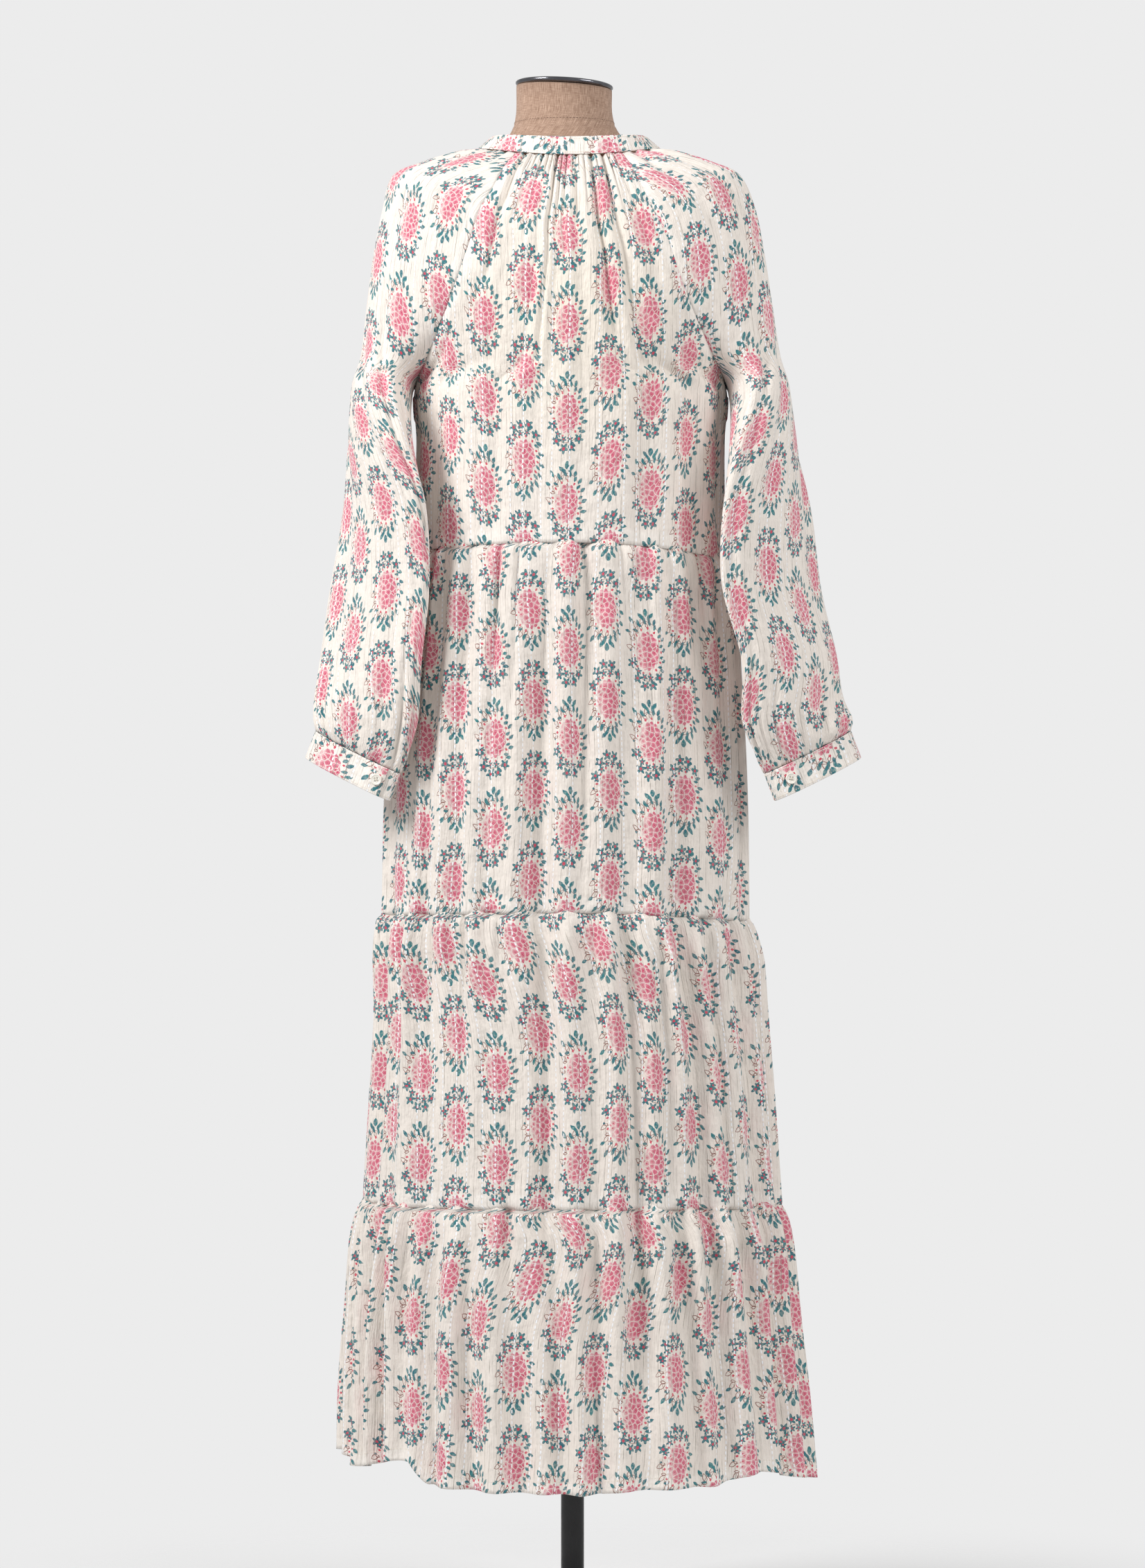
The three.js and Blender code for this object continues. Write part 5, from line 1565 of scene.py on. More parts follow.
# %% The whole printed cotton
INKS = {
    "ground": "#EFE6DD",
    "ground_warm": "#F1E6D0",
    "ground_doubled": "#F8F2EB",
    "brown": "#93665F",
    "pink": "#DE8598",
    "rose": "#C94A68",
    "coral": "#D34F62",
    "teal": "#43908F",
    "deep_teal": "#245F74",
    "slate": "#4D4762",
    "grey_thread": "#A29A90",
    "silver": "#FDFDFF",
}
RINGS_OF_PRINT = {
    # across, along, count, turn, tilt, half length, half width, middle number, reach of numbers
    "drops": (15.9, 23.4, 13, 0.5, 0.0, 1.7, 1.3, 0, 99),
    "inner_leaves": (16.6, 30.0, 17, 0.0, 0.4, 3.0, 1.5, 2.0, 4.6),
    "outer_leaves": (20.6, 33.6, 19, 0.3, 0.45, 3.8, 1.75, 0.6, 5.1),
    "brown_leaves": (19.6, 31.0, 15, 0.2, -0.5, 4.6, 2.1, 5.5, 2.1),
    "brown_sprigs": (17.4, 26.0, 16, 0.6, 0.4, 2.8, 1.3, 6.0, 2.6),
}
PLACED_LEAVES = [
    # x, y, angle in degrees, half length, half width
    (0.0, 39.0, 90, 4.6, 2.6),
    (-6.0, 36.0, 130, 4.2, 2.0),
    (6.0, 36.0, 50, 4.2, 2.0),
    (-17.0, 29.5, 125, 4.4, 2.0),
    (-21.4, 19.0, 150, 3.4, 1.7),
    (-9.0, 29.0, 110, 3.6, 1.8),
]
FLOWERS = [
    # across, along, count, turn, radius, middle number, reach of numbers
    (19.2, 36.0, 13, 0.2, 5.8, -4.4, 2.6),
    (16.6, 27.0, 14, 0.6, 3.9, -4.6, 2.2),
]
PETALS = 5.0
HEART = {"across": 13.0, "along": 19.6, "scallops": 15.0, "scallop_depth": 0.045}
STEM = {"across": 18.2, "along": 30.0, "half_width": 0.016}  # the last as a share of the oval
FLORETS = {"Scale": 0.185, "Randomness": 0.75}
STAR = {"points": 0.26, "body": 0.72, "eye": 0.3}  # shares of the flower's radius
WOVEN = {
    # spacing, half width, seed, share left out
    "grey": (8.0, 0.36, 3.0, 0.3),
    "silver": (17.0, 0.75, 17.0, 0.3),
}
SILVER_DASH = {"pitch": 5.4, "share": 0.62}
FORM_SHOWS = {"place": (0.0, -0.1, 1.36), "near": 0.03, "far": 0.15}  # metres, at the upper back


def printed_cotton():
    made = bpy.data.materials.new("printed_cotton_voile")
    made.use_nodes = True
    tree = made.node_tree
    cloth_uv = node(tree, "ShaderNodeUVMap", uv_map="flat_cloth").outputs[0]
    flat_mm = node(tree, VECTOR, {0: cloth_uv, 1: (1000, 1000, 1000)}, operation="MULTIPLY").outputs[0]

    # The block never lands quite true, so the print's lines wander by less than a millimetre
    wander = node(tree, NOISE, {"Vector": flat_mm, "Scale": 0.11, "Detail": 2.0}, noise_dimensions="2D")
    shift = node(
        tree,
        VECTOR,
        {0: wander.outputs["Color"], 1: (2.2, 2.2, 0), 2: (-1.1, -1.1, 0)},
        operation="MULTIPLY_ADD",
    ).outputs[0]
    wandering = node(tree, VECTOR, {0: flat_mm, 1: shift}, operation="ADD").outputs[0]
    parts = node(tree, "ShaderNodeSeparateXYZ", {0: wandering}).outputs
    column = node(tree, MATH, {0: parts["X"], 1: PRINT["column"]}, operation="DIVIDE").outputs[0]
    column = node(tree, MATH, {0: column}, operation="ROUND").outputs[0]
    odd = node(tree, MATH, {0: column, 1: 1.0}, operation="PINGPONG").outputs[0]
    x = node(tree, MATH, {0: column, 1: -PRINT["column"], 2: parts["X"]}, operation="MULTIPLY_ADD").outputs[0]
    half_drop = -PRINT["row"] / 2
    dropped = node(tree, MATH, {0: odd, 1: half_drop, 2: parts["Y"]}, operation="MULTIPLY_ADD").outputs[0]
    flip = node(tree, MATH, {0: odd, 1: -2.0, 2: 1.0}, operation="MULTIPLY_ADD").outputs[0]
    upright = node(tree, MATH, {0: dropped, 1: flip}, operation="MULTIPLY").outputs[0]
    row = node(tree, MATH, {0: upright, 1: PRINT["row"]}, operation="DIVIDE").outputs[0]
    row = node(tree, MATH, {0: row}, operation="ROUND").outputs[0]
    y = node(tree, MATH, {0: row, 1: -PRINT["row"], 2: upright}, operation="MULTIPLY_ADD").outputs[0]
    y = node(tree, MATH, {0: y, 1: 3.0}, operation="SUBTRACT").outputs[0]
    place = node(tree, "ShaderNodeCombineXYZ", {"X": x, "Y": y}).outputs[0]

    # How wet the block was: it changes slowly over the cloth and quickly within a mark
    wet = node(
        tree, NOISE, {"Vector": flat_mm, "Scale": 0.35, "Detail": 3.0}, noise_dimensions="2D"
    ).outputs["Fac"]
    wet = node(tree, RANGE, {"Value": wet, "From Min": 0.3, "From Max": 0.6, "To Min": 0.74}).outputs[0]

    def inked(below, mask, ink, strength=1.0):
        """Prints an ink over what is below it, where the mask is."""
        amount = node(tree, MATH, {0: mask, 1: wet}, operation="MULTIPLY").outputs[0]
        if strength != 1.0:
            amount = node(tree, MATH, {0: amount, 1: strength}, operation="MULTIPLY").outputs[0]
        mixed = node(tree, "ShaderNodeMix", {"Factor": amount}, data_type="RGBA")
        for socket, value in ((6, below), (7, ink)):
            if isinstance(value, bpy.types.NodeSocket):
                tree.links.new(value, mixed.inputs[socket])
            else:
                mixed.inputs[socket].default_value = value
        return mixed.outputs[2]

    def ring(name):
        """The fill and outline of one ring of leaves or drops."""
        across, along, count, turn, tilt, half_length, half_width, number, reach = RINGS_OF_PRINT[name]
        marks = node(
            tree,
            "ShaderNodeGroup",
            {"Place": place, "Across": across, "Along": along, "Count": count, "Turn": turn, "Tilt": tilt},
            node_tree=RING,
        )
        leaf = node(
            tree,
            "ShaderNodeGroup",
            {"Place": marks.outputs["Beside"], "Half Length": half_length, "Half Width": half_width},
            node_tree=LEAF,
        )
        kept = node(
            tree, MATH, {0: marks.outputs["Number"], 1: number, 2: reach}, operation="COMPARE"
        ).outputs[0]
        return [
            node(tree, MATH, {0: leaf.outputs[part], 1: kept}, operation="MULTIPLY").outputs[0]
            for part in ("Fill", "Outline")
        ]

    # Ground: cream cotton, warmed at the upper back as if the form showed through, paler where it is doubled
    threads = node(tree, VECTOR, {0: flat_mm, 1: (0.9, 0.035, 1)}, operation="MULTIPLY").outputs[0]
    slubs = node(
        tree, NOISE, {"Vector": threads, "Scale": 1.0, "Detail": 3.0}, noise_dimensions="2D"
    ).outputs["Fac"]
    here = node(tree, "ShaderNodeTexCoord").outputs["Object"]
    from_middle = node(tree, VECTOR, {0: here, 1: FORM_SHOWS["place"]}, operation="SUBTRACT").outputs[0]
    from_middle = node(tree, VECTOR, {0: from_middle, 1: (1, 1, 0.8)}, operation="MULTIPLY").outputs[0]
    from_middle = node(tree, VECTOR, {0: from_middle}, operation="LENGTH").outputs["Value"]
    see_through = node(
        tree,
        RANGE,
        {
            "Value": from_middle,
            "From Min": FORM_SHOWS["near"],
            "From Max": FORM_SHOWS["far"],
            "To Min": 0.35,
            "To Max": 0.0,
        },
    ).outputs[0]
    ground = inked(colour(INKS["ground"]), see_through, colour(INKS["ground_warm"]))
    doubled = node(tree, "ShaderNodeAttribute", attribute_name="layers").outputs["Fac"]
    ground = inked(ground, doubled, colour(INKS["ground_doubled"]), 0.6)
    slub_mask = node(
        tree, RANGE, {"Value": slubs, "From Min": 0.5, "From Max": 0.75, "To Max": 0.3}
    ).outputs[0]
    shown = inked(ground, slub_mask, colour(INKS["grey_thread"]))

    # Brown outlines, then the inks from the largest mark to the smallest
    oval_size = (STEM["across"], STEM["along"], 1.0)
    oval_place = node(tree, VECTOR, {0: place, 1: oval_size}, operation="DIVIDE").outputs[0]
    oval = node(tree, VECTOR, {0: oval_place}, operation="LENGTH").outputs["Value"]
    stem = node(tree, MATH, {0: oval, 1: 1.0, 2: STEM["half_width"]}, operation="COMPARE").outputs[0]
    shown = inked(shown, stem, colour(INKS["brown"]), 0.7)
    for name in ("brown_leaves", "brown_sprigs"):
        shown = inked(shown, ring(name)[1], colour(INKS["brown"]), 1.3)

    heart_size = (HEART["across"], HEART["along"], 1.0)
    heart_place = node(tree, VECTOR, {0: place, 1: heart_size}, operation="DIVIDE").outputs[0]
    heart = node(tree, VECTOR, {0: heart_place}, operation="LENGTH").outputs["Value"]
    heart_parts = node(tree, "ShaderNodeSeparateXYZ", {0: heart_place}).outputs
    heart_angle = node(tree, MATH, {0: heart_parts["Y"], 1: heart_parts["X"]}, operation="ARCTAN2").outputs[0]
    scallop = node(tree, MATH, {0: heart_angle, 1: HEART["scallops"]}, operation="MULTIPLY").outputs[0]
    scallop = node(tree, MATH, {0: scallop}, operation="COSINE").outputs[0]
    heart = node(
        tree, MATH, {0: scallop, 1: HEART["scallop_depth"], 2: heart}, operation="MULTIPLY_ADD"
    ).outputs[0]
    heart_mask = node(
        tree,
        RANGE,
        {"Value": heart, "From Min": 1.02, "From Max": 0.97, "To Min": 0.0, "To Max": 1.0},
    ).outputs[0]
    floret = node(
        tree,
        "ShaderNodeTexVoronoi",
        {"Vector": place, **FLORETS},
        voronoi_dimensions="2D",
    ).outputs["Distance"]
    gap = node(
        tree,
        "ShaderNodeTexVoronoi",
        {"Vector": place, **FLORETS},
        voronoi_dimensions="2D",
        feature="DISTANCE_TO_EDGE",
    ).outputs["Distance"]
    petals = node(tree, RANGE, {"Value": gap, "From Min": 0.02, "From Max": 0.085}).outputs[0]
    right_side = node(
        tree,
        RANGE,
        {"Value": heart_parts["X"], "From Min": -0.75, "From Max": -0.05, "To Min": 0.45},
    ).outputs[0]
    petals = node(tree, MATH, {0: petals, 1: heart_mask}, operation="MULTIPLY").outputs[0]
    petals = node(tree, MATH, {0: petals, 1: right_side}, operation="MULTIPLY").outputs[0]
    shown = inked(shown, petals, colour(INKS["pink"]))
    blush = node(tree, MATH, {0: floret, 1: 0.3, 2: 0.07}, operation="COMPARE").outputs[0]
    blush = node(tree, MATH, {0: blush, 1: petals}, operation="MULTIPLY").outputs[0]
    shown = inked(shown, blush, colour(INKS["rose"]), 0.75)
    eye = node(
        tree,
        RANGE,
        {"Value": floret, "From Min": 0.2, "From Max": 0.12, "To Min": 0.0, "To Max": 1.0},
    ).outputs[0]
    eye = node(tree, MATH, {0: eye, 1: heart_mask}, operation="MULTIPLY").outputs[0]
    shown = inked(shown, eye, colour(INKS["rose"]))
    shown = inked(shown, ring("drops")[0], colour(INKS["coral"]))

    teal = node(tree, "ShaderNodeMix", {"Factor": wander.outputs["Fac"]}, data_type="RGBA")
    teal.inputs[6].default_value = colour(INKS["teal"])
    teal.inputs[7].default_value = colour(INKS["deep_teal"])
    for name in ("inner_leaves", "outer_leaves"):
        fill, outline = ring(name)
        shown = inked(shown, fill, teal.outputs[2])
        shown = inked(shown, outline, colour(INKS["slate"]), 0.35)
    for leaf_x, leaf_y, leaf_angle, half_length, half_width in PLACED_LEAVES:
        beside = node(tree, VECTOR, {0: place, 1: (leaf_x, leaf_y, 0)}, operation="SUBTRACT").outputs[0]
        beside = node(
            tree,
            "ShaderNodeVectorRotate",
            {"Vector": beside, "Angle": -math.radians(leaf_angle)},
            rotation_type="Z_AXIS",
        ).outputs[0]
        leaf = node(
            tree,
            "ShaderNodeGroup",
            {"Place": beside, "Half Length": half_length, "Half Width": half_width},
            node_tree=LEAF,
        )
        shown = inked(shown, leaf.outputs["Fill"], teal.outputs[2])

    # Star flowers with a coral eye and a dark edge
    for across, along, count, turn, size, number, reach in FLOWERS:
        stars = node(
            tree,
            "ShaderNodeGroup",
            {"Place": place, "Across": across, "Along": along, "Count": count, "Turn": turn, "Tilt": 0.3},
            node_tree=RING,
        )
        star_parts = node(tree, "ShaderNodeSeparateXYZ", {0: stars.outputs["Beside"]}).outputs
        star_angle = node(
            tree, MATH, {0: star_parts["Y"], 1: star_parts["X"]}, operation="ARCTAN2"
        ).outputs[0]
        points = node(tree, MATH, {0: star_angle, 1: PETALS}, operation="MULTIPLY").outputs[0]
        points = node(tree, MATH, {0: points}, operation="COSINE").outputs[0]
        rim = node(
            tree,
            MATH,
            {0: points, 1: size * STAR["points"], 2: size * STAR["body"]},
            operation="MULTIPLY_ADD",
        ).outputs[0]
        radius = node(tree, VECTOR, {0: stars.outputs["Beside"]}, operation="LENGTH").outputs["Value"]
        inside = node(tree, MATH, {0: rim, 1: radius}, operation="SUBTRACT").outputs[0]
        kept = node(
            tree, MATH, {0: stars.outputs["Number"], 1: number, 2: reach}, operation="COMPARE"
        ).outputs[0]
        star = node(
            tree, RANGE, {"Value": inside, "From Min": SOFT_EDGE[0], "From Max": SOFT_EDGE[1]}
        ).outputs[0]
        star = node(tree, MATH, {0: star, 1: kept}, operation="MULTIPLY").outputs[0]
        shown = inked(shown, star, teal.outputs[2])
        rim_line = node(tree, MATH, {0: inside, 1: 0.25, 2: 0.3}, operation="COMPARE").outputs[0]
        rim_line = node(tree, MATH, {0: rim_line, 1: kept}, operation="MULTIPLY").outputs[0]
        shown = inked(shown, rim_line, colour(INKS["slate"]), 0.55)
        eye_size = size * STAR["eye"]
        star_eye = node(
            tree,
            RANGE,
            {"Value": radius, "From Min": eye_size, "From Max": eye_size - 0.4, "To Min": 0.0, "To Max": 1.0},
        ).outputs[0]
        star_eye = node(tree, MATH, {0: star_eye, 1: kept}, operation="MULTIPLY").outputs[0]
        shown = inked(shown, star_eye, colour(INKS["coral"]))

    # Fine grey threads and broken silvery ones, woven in and so above the print
    flat_parts = node(tree, "ShaderNodeSeparateXYZ", {0: flat_mm}).outputs

    def thread_lines(spacing, half_width, seed, least):
        """A mask of upright lines, some of them left out, and the number of each line."""
        place_x = node(tree, MATH, {0: flat_parts["X"], 1: spacing}, operation="DIVIDE").outputs[0]
        number = node(tree, MATH, {0: place_x}, operation="ROUND").outputs[0]
        seeded = node(tree, MATH, {0: number, 1: seed}, operation="ADD").outputs[0]
        luck = node(tree, "ShaderNodeTexWhiteNoise", {"W": seeded}, noise_dimensions="1D").outputs["Value"]
        jitter = node(tree, MATH, {0: luck, 1: 0.5, 2: -0.25}, operation="MULTIPLY_ADD").outputs[0]
        centre = node(tree, MATH, {0: number, 1: jitter}, operation="ADD").outputs[0]
        reach = half_width / spacing
        off = node(tree, MATH, {0: place_x, 1: centre, 2: reach}, operation="COMPARE").outputs[0]
        present = node(tree, MATH, {0: luck, 1: least}, operation="GREATER_THAN").outputs[0]
        return node(tree, MATH, {0: off, 1: present}, operation="MULTIPLY").outputs[0], luck

    grey, _ = thread_lines(*WOVEN["grey"])
    faded = node(
        tree, NOISE, {"Vector": flat_mm, "Scale": 0.05, "Detail": 1.0}, noise_dimensions="2D"
    ).outputs["Fac"]
    faded = node(tree, RANGE, {"Value": faded, "From Min": 0.4, "From Max": 0.6}).outputs[0]
    grey = node(tree, MATH, {0: grey, 1: faded}, operation="MULTIPLY").outputs[0]
    shown = inked(shown, grey, colour(INKS["grey_thread"]), 0.75)
    silver, luck = thread_lines(*WOVEN["silver"])
    along = node(tree, MATH, {0: flat_parts["Y"], 1: SILVER_DASH["pitch"]}, operation="DIVIDE").outputs[0]
    along = node(tree, MATH, {0: luck, 1: 7.3, 2: along}, operation="MULTIPLY_ADD").outputs[0]
    dash = node(tree, MATH, {0: along}, operation="FRACT").outputs[0]
    dash = node(tree, MATH, {0: dash, 1: SILVER_DASH["share"]}, operation="LESS_THAN").outputs[0]
    silver = node(tree, MATH, {0: silver, 1: dash}, operation="MULTIPLY").outputs[0]
    shown = inked(shown, silver, colour(INKS["silver"]), 1.4)

    # The crinkle: fine upright ripples, drawn wider than real ones so that they show, and the weave itself
    ripple_place = node(tree, VECTOR, {0: flat_mm, 1: (0.42, 0.05, 1)}, operation="MULTIPLY").outputs[0]
    ripples = node(
        tree,
        NOISE,
        {"Vector": ripple_place, "Scale": 1.0, "Detail": 3.0, "Roughness": 0.6},
        noise_dimensions="2D",
    ).outputs["Fac"]
    crumple = node(
        tree, NOISE, {"Vector": flat_mm, "Scale": 0.06, "Detail": 3.0}, noise_dimensions="2D"
    ).outputs["Fac"]
    height = node(tree, MATH, {0: crumple, 1: 2.2, 2: ripples}, operation="MULTIPLY_ADD").outputs[0]
    height = node(tree, MATH, {0: slubs, 1: 0.35, 2: height}, operation="MULTIPLY_ADD").outputs[0]
    height = node(tree, MATH, {0: silver, 1: 0.3, 2: height}, operation="MULTIPLY_ADD").outputs[0]
    relief = node(tree, "ShaderNodeBump", {"Height": height, "Strength": 0.8, "Distance": 0.0014})
    rough = node(tree, RANGE, {"Value": silver, "To Min": 0.88, "To Max": 0.32}).outputs[0]

    shader = tree.nodes["Principled BSDF"]
    tree.links.new(shown, shader.inputs["Base Color"])
    tree.links.new(rough, shader.inputs["Roughness"])
    tree.links.new(relief.outputs[0], shader.inputs["Normal"])
    shader.inputs["Sheen Weight"].default_value = 0.12
    shader.inputs["Sheen Roughness"].default_value = 0.5
    shader.inputs["Specular IOR Level"].default_value = 0.3
    return made


COTTON = printed_cotton()
print("printed cotton nodes:", len(COTTON.node_tree.nodes))

# %% [markdown]
# ## Thread, shell, linen and metal
# The other finishes are plain ones. Thread is cream cotton with a twist. The buttons are shell, pale and
# polished. The form's linen shows its upright yarns and is darker in patches towards the neck's top rim. The
# cap is polished chrome with faint hairlines, and the stand is steel under a low-gloss black paint with dust
# on it.


# %% The other finishes
def finish_called(name, **values):
    """A new material with its shader's own values set."""
    made = bpy.data.materials.new(name)
    made.use_nodes = True
    shader = made.node_tree.nodes["Principled BSDF"]
    for key, value in values.items():
        shader.inputs[key.replace("_", " ")].default_value = value
    here_mm = node(
        made.node_tree,
        VECTOR,
        {0: node(made.node_tree, "ShaderNodeTexCoord").outputs["Object"], 1: (1000, 1000, 1000)},
        operation="MULTIPLY",
    ).outputs[0]
    return made, made.node_tree, shader, here_mm


def two_colours(tree, share, first, second):
    mixed = node(tree, "ShaderNodeMix", {"Factor": share}, data_type="RGBA")
    mixed.inputs[6].default_value = colour(first)
    mixed.inputs[7].default_value = colour(second)
    return mixed.outputs[2]


# Cotton thread: matt, with a fine slanting twist that breaks up its light
THREAD, tree, shader, here = finish_called("cotton_thread", Roughness=0.8, Sheen_Weight=0.2)
twist = node(tree, NOISE, {"Vector": here, "Scale": 3.0, "Detail": 2.0}).outputs["Fac"]
tree.links.new(two_colours(tree, twist, "#D9CCB6", "#FBF6EA"), shader.inputs["Base Color"])
tree.links.new(
    node(tree, "ShaderNodeBump", {"Height": twist, "Strength": 0.4, "Distance": 0.0001}).outputs[0],
    shader.inputs["Normal"],
)

# The form's seam is sewn with a brown thread, matt like the cotton one
BROWN_THREAD, tree, shader, here = finish_called("brown_thread", Roughness=0.85, Sheen_Weight=0.1)
twist = node(tree, NOISE, {"Vector": here, "Scale": 3.0, "Detail": 2.0}).outputs["Fac"]
tree.links.new(two_colours(tree, twist, "#4A372C", "#7A604E"), shader.inputs["Base Color"])

# Polished shell: pale, with cloudy bands and a clear shine
SHELL, tree, shader, here = finish_called(
    "polished_shell", Roughness=0.24, Coat_Weight=0.5, Coat_Roughness=0.12
)
bands = node(tree, VECTOR, {0: here, 1: (0.1, 0.1, 0.42)}, operation="MULTIPLY").outputs[0]
clouds = node(tree, NOISE, {"Vector": bands, "Scale": 1.0, "Detail": 3.0, "Distortion": 1.2}).outputs["Fac"]
tree.links.new(two_colours(tree, clouds, "#DDD5C6", "#FBF8F2"), shader.inputs["Base Color"])

# Stretched linen: uneven upright yarns crossed by finer ones, darker in patches towards the top rim
LINEN, tree, shader, here = finish_called("beige_linen", Roughness=0.9, Sheen_Weight=0.15)
linen_uv = node(tree, "ShaderNodeUVMap", uv_map="flat_cloth").outputs[0]
yarn_place = node(tree, VECTOR, {0: linen_uv, 1: (1500, 90, 1)}, operation="MULTIPLY").outputs[0]
upright_yarns = node(
    tree, NOISE, {"Vector": yarn_place, "Scale": 1.0, "Detail": 3.0}, noise_dimensions="2D"
).outputs["Fac"]
yarn_place = node(tree, VECTOR, {0: linen_uv, 1: (120, 1700, 1)}, operation="MULTIPLY").outputs[0]
cross_yarns = node(
    tree, NOISE, {"Vector": yarn_place, "Scale": 1.0, "Detail": 2.0}, noise_dimensions="2D"
).outputs["Fac"]
weave = node(tree, MATH, {0: cross_yarns, 1: 0.55, 2: upright_yarns}, operation="MULTIPLY_ADD").outputs[0]
share = node(tree, RANGE, {"Value": weave, "From Min": 0.55, "From Max": 1.0}).outputs[0]
cloth_tone = two_colours(tree, share, "#8E6F5B", "#C4A590")
height_parts = node(tree, "ShaderNodeSeparateXYZ", {0: here}).outputs
# The linen turns darker in noisy patches over the top 17 mm of the neck, just under the cap
darker_towards_top = node(
    tree,
    RANGE,
    {"Value": height_parts["Z"], "From Min": 1586.0, "From Max": 1603.0, "To Max": 0.45},
).outputs[0]
top_patches = node(tree, NOISE, {"Vector": here, "Scale": 0.05, "Detail": 4.0}).outputs["Fac"]
darker_towards_top = node(tree, MATH, {0: darker_towards_top, 1: top_patches}, operation="MULTIPLY").outputs[0]
top_darkened = node(tree, "ShaderNodeMix", {"Factor": darker_towards_top, 6: cloth_tone}, data_type="RGBA")
top_darkened.inputs[7].default_value = colour("#6A503F")
tree.links.new(top_darkened.outputs[2], shader.inputs["Base Color"])
tree.links.new(
    node(tree, "ShaderNodeBump", {"Height": weave, "Strength": 0.5, "Distance": 0.0005}).outputs[0],
    shader.inputs["Normal"],
)

# Polished chrome: a clear mirror with hairlines and a few smudges
CHROME, tree, shader, here = finish_called("polished_chrome", Metallic=1.0)
smudges = node(tree, NOISE, {"Vector": here, "Scale": 0.07, "Detail": 3.0}).outputs["Fac"]
tree.links.new(two_colours(tree, smudges, "#4E4E53", "#85858A"), shader.inputs["Base Color"])
rough = node(
    tree, RANGE, {"Value": smudges, "From Min": 0.35, "From Max": 0.7, "To Min": 0.1, "To Max": 0.22}
).outputs[0]
tree.links.new(rough, shader.inputs["Roughness"])
hairline_place = node(tree, VECTOR, {0: here, 1: (0.3, 0.3, 9.0)}, operation="MULTIPLY").outputs[0]
hairlines = node(tree, NOISE, {"Vector": hairline_place, "Scale": 1.0, "Detail": 2.0}).outputs["Fac"]
tree.links.new(
    node(tree, "ShaderNodeBump", {"Height": hairlines, "Strength": 0.1, "Distance": 0.0002}).outputs[0],
    shader.inputs["Normal"],
)

# Black paint on steel: low gloss, a fine orange-peel surface and grey dust
BLACK, tree, shader, here = finish_called("black_paint_on_steel")
dust = node(tree, NOISE, {"Vector": here, "Scale": 0.03, "Detail": 6.0, "Roughness": 0.7}).outputs["Fac"]
dust = node(tree, RANGE, {"Value": dust, "From Min": 0.5, "From Max": 0.8}).outputs[0]
tree.links.new(two_colours(tree, dust, "#121214", "#2B2A2B"), shader.inputs["Base Color"])
rough = node(tree, RANGE, {"Value": dust, "To Min": 0.36, "To Max": 0.62}).outputs[0]
tree.links.new(rough, shader.inputs["Roughness"])
peel = node(tree, NOISE, {"Vector": here, "Scale": 0.6, "Detail": 2.0}).outputs["Fac"]
tree.links.new(
    node(tree, "ShaderNodeBump", {"Height": peel, "Strength": 0.25, "Distance": 0.0003}).outputs[0],
    shader.inputs["Normal"],
)
print("finishes:", [m.name for m in (COTTON, THREAD, BROWN_THREAD, SHELL, LINEN, CHROME, BLACK)])

# %% [markdown]
# ## Sewing
# The rows of stitches that show on such a dress: along the collar and the cuffs, round the hem,
# and round the form's neck. Each button is held by two crossed threads through its holes.

# %% Rows of stitches
STITCH_LIFT = 0.15  # how far above the cloth the thread's middle lies
BAND_MARGIN = 2.6  # from a band's edge to its stitches
sewn = {}


def keep_row(name, piece, line, thread=THREAD, **sizes):
    """Sews a row of stitches and remembers the piece that it is on."""
    sewn[sew("stitches_" + name, line, thread, **sizes)] = piece


along = np.linspace(0.004, 0.996, 260)
keep_row("collar_lower", "collar_band", collar_place(along, COLLAR["height"] - BAND_MARGIN, STITCH_LIFT))
keep_row("collar_upper", "collar_band", collar_place(along, BAND_MARGIN, STITCH_LIFT))
for side in SLEEVES:
    for edge, down in (("upper", BAND_MARGIN), ("lower", CUFF["height"] - BAND_MARGIN)):
        keep_row(f"cuff_{side}_{edge}", "cuff_" + side, cuff_band(side)(along, down, STITCH_LIFT))
for name in ("tier_3_back", "tier_3_front"):
    keep_row("hem_" + name[7:], name, line_above_hem(TIER_GRIDS[name], HEM_DEPTH, STITCH_LIFT), pitch=3.2)
neck_ring = []
for i in range(FORM_SIDES + 1):
    column = closed[::-1, i]
    neck_ring.append([np.interp(NECK_SEAM["z"] + 3, column[:, 2], column[:, k]) for k in range(3)])
neck_ring = np.array(neck_ring)
neck_ring[:, :2] += (neck_ring[:, :2] - neck_ring[:, :2].mean(axis=0)) * 0.002
keep_row("form_neck", "form_torso", neck_ring, BROWN_THREAD, pitch=3.4, length=2.2)

# Two crossed threads hold each button, through its four holes
for side in SLEEVES:
    seat, facing = button_seat(side)
    turn = np.array(Vector((0, 0, 1)).rotation_difference(Vector(facing)).to_matrix())
    for k in range(2):
        angle = math.pi / 4 + k * math.pi / 2
        end = turn @ np.array([math.cos(angle), math.sin(angle), 0]) * BUTTON["spread"]
        top = seat + facing * (BUTTON["thick"] - BUTTON["rim"] + 0.15 + 0.25 * k)
        strand = np.linspace(top - end, top + end, 9)
        keep_row(f"button_{side}_{k}", "cuff_button_" + side, strand, pitch=0.4, length=1.0, radius=0.3)
print("rows of stitches:", len(sewn), "faces:", sum(len(o.data.polygons) for o in sewn))
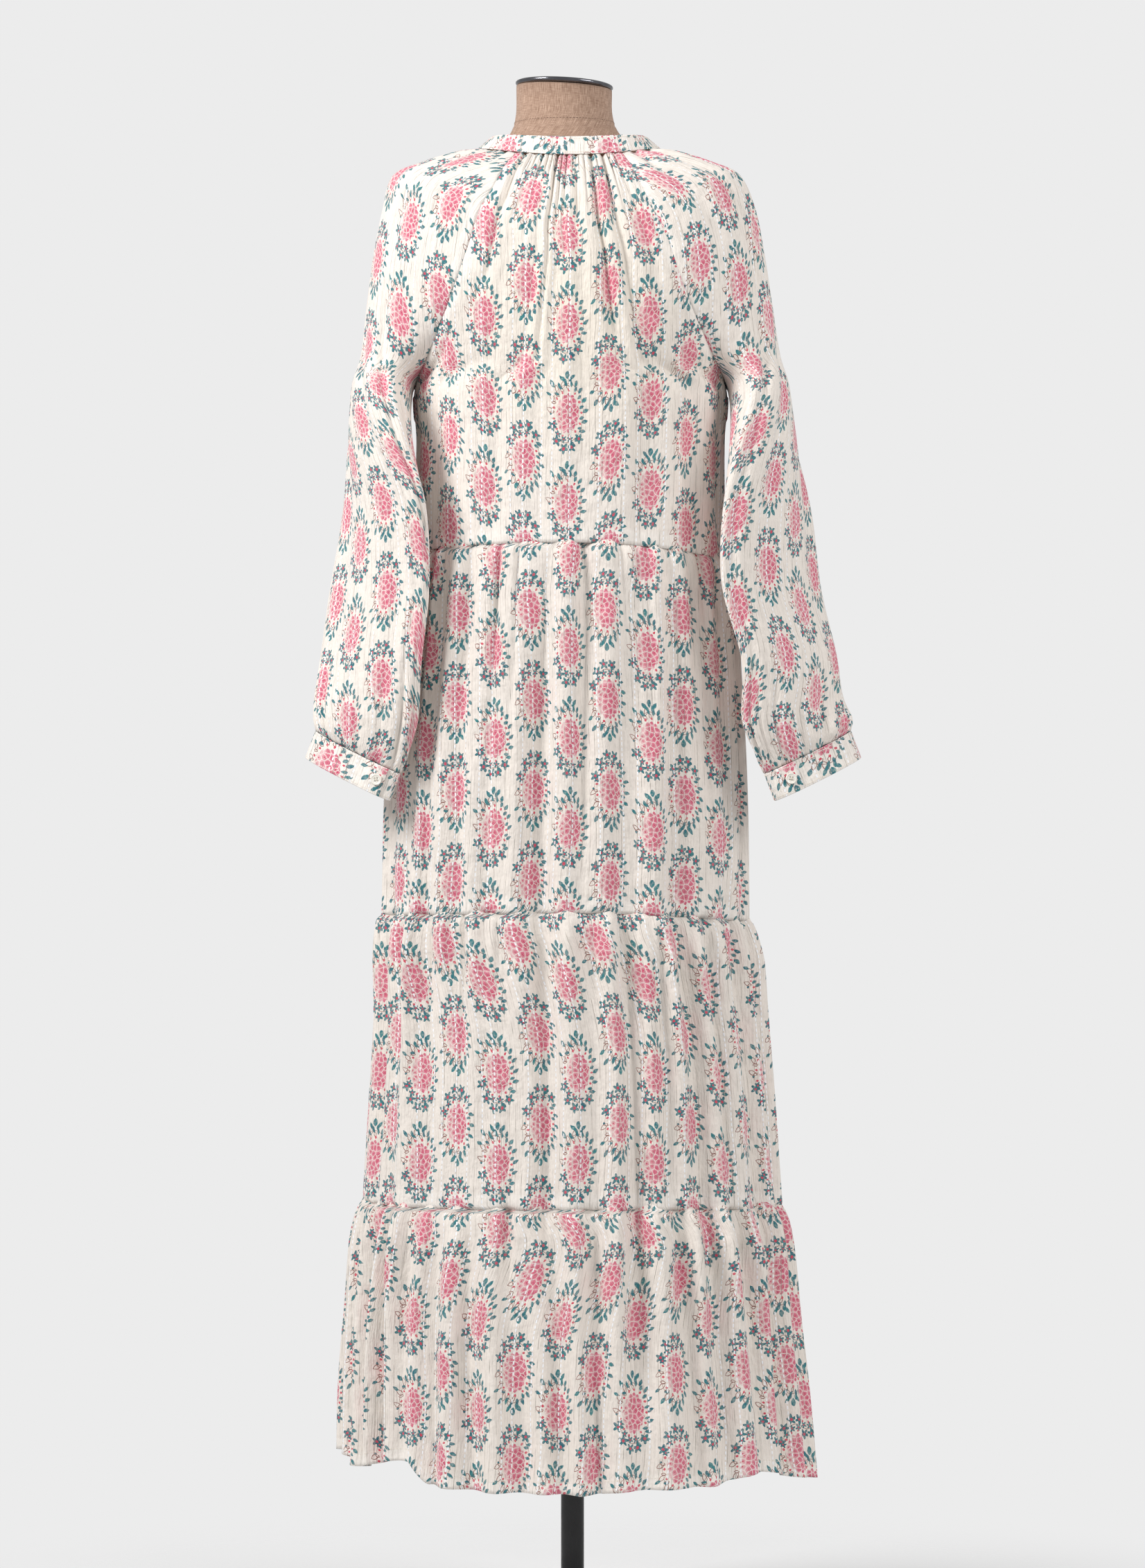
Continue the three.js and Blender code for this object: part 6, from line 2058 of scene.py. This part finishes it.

# %% [markdown]
# ## Putting it together
# Each piece takes its finish, and stands for the solid of the same shape in the imported model. The whole
# dress hangs still, so that everything rides on the one body. The flat shape that each cloth piece was cut
# to is worked out too.

# %% Finishes and bodies
FINISH_OF = {
    "cuff_button_left": (SHELL, "shell_button"),
    "cuff_button_right": (SHELL, "shell_button"),
    "form_torso": (LINEN, "linen"),
    "neck_cap": (CHROME, "chrome"),
    "form_flange": (BLACK, "black_steel"),
    "stand_pole": (BLACK, "black_steel"),
    "stand_base": (BLACK, "black_steel"),
}
for name, piece in pieces.items():
    finish, slot_name = FINISH_OF.get(name, (COTTON, "printed_cotton"))
    piece.data.materials.clear()
    piece.data.materials.append(finish)
    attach(piece, "root")
    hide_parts(name)
for stitches, name in sewn.items():
    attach(stitches, "root")
print("pieces with a finish:", len(pieces), "rows of stitches:", len(sewn))

# %% Flat cuts of the cloth
HELD = {
    "back_bodice": ("gathered", ["form_torso", "collar_band"]),
    "front_bodice": ("gathered", ["form_torso", "collar_band"]),
    "front_placket": ("folded", ["front_bodice"]),
    "sleeve_left": ("gathered", ["back_bodice", "front_bodice"]),
    "sleeve_right": ("gathered", ["back_bodice", "front_bodice"]),
    "collar_band": ("folded", ["form_torso"]),
    "cuff_left": ("folded", ["sleeve_left"]),
    "cuff_right": ("folded", ["sleeve_right"]),
    "tier_1_back": ("gathered", ["back_bodice"]),
    "tier_1_front": ("gathered", ["front_bodice"]),
    "tier_2_back": ("gathered", ["tier_1_back"]),
    "tier_2_front": ("gathered", ["tier_1_front"]),
    "tier_3_back": ("gathered", ["tier_2_back"]),
    "tier_3_front": ("gathered", ["tier_2_front"]),
}
band_cuts = {"collar_band": (collar_length, COLLAR["height"])}
for side in SLEEVES:
    band_cuts["cuff_" + side] = (cuff_lengths[side], CUFF["height"])
for name, (width, length) in band_cuts.items():
    flat_cuts[name] = (width * MM, length * MM, width * length * MM * MM)
for name, (held, rests_on) in HELD.items():
    width, length, area = flat_cuts[name]
print("cloth pieces:", len(HELD))

# %% [markdown]
# ## The floor
# White paper lies under the stand. It fades out around it, as a paper sweep does that curves up into the
# white behind.

# %% Floor
FLOOR_RADIUS = 2.0
FLOOR_FADE = (0.24, 0.95)  # metres from the pole
FLOOR_SIDES = 64
floor_mesh = bpy.data.meshes.new("studio_floor")
turns = np.linspace(0, 2 * math.pi, FLOOR_SIDES + 1)[:-1]
corners = [(FLOOR_RADIUS * math.cos(a), FLOOR_RADIUS * math.sin(a), 0) for a in turns]
floor_mesh.from_pydata(corners, [], [tuple(range(FLOOR_SIDES))])
floor = bpy.data.objects.new("studio_floor", floor_mesh)
bpy.context.scene.collection.objects.link(floor)
FLOOR_FINISH, tree, shader, here = finish_called("matt_white_paper", Roughness=0.9)
speckle = node(tree, NOISE, {"Vector": here, "Scale": 0.004, "Detail": 5.0}).outputs["Fac"]
tree.links.new(two_colours(tree, speckle, "#EDEDED", "#F5F5F5"), shader.inputs["Base Color"])
from_pole = node(tree, VECTOR, {0: here, 1: (0.001, 0.001, 0)}, operation="MULTIPLY").outputs[0]
from_pole = node(tree, VECTOR, {0: from_pole}, operation="LENGTH").outputs["Value"]
paper = node(
    tree,
    RANGE,
    {"Value": from_pole, "From Min": FLOOR_FADE[0], "From Max": FLOOR_FADE[1], "To Min": 1.0, "To Max": 0.0},
    interpolation_type="SMOOTHSTEP",
).outputs[0]
tree.links.new(paper, shader.inputs["Alpha"])
floor_mesh.materials.append(FLOOR_FINISH)
print("floor radius:", FLOOR_RADIUS, "m, faded out by", FLOOR_FADE[1], "m")

# %% Sizes and the finish
counts = {}
for piece in [*pieces.values(), *sewn]:
    piece.data.calc_loop_triangles()
    counts[piece.name] = len(piece.data.loop_triangles)
print("triangles:", sum(counts.values()), "largest:", sorted(counts.items(), key=lambda item: -item[1])[:4])
bpy.context.view_layer.update()
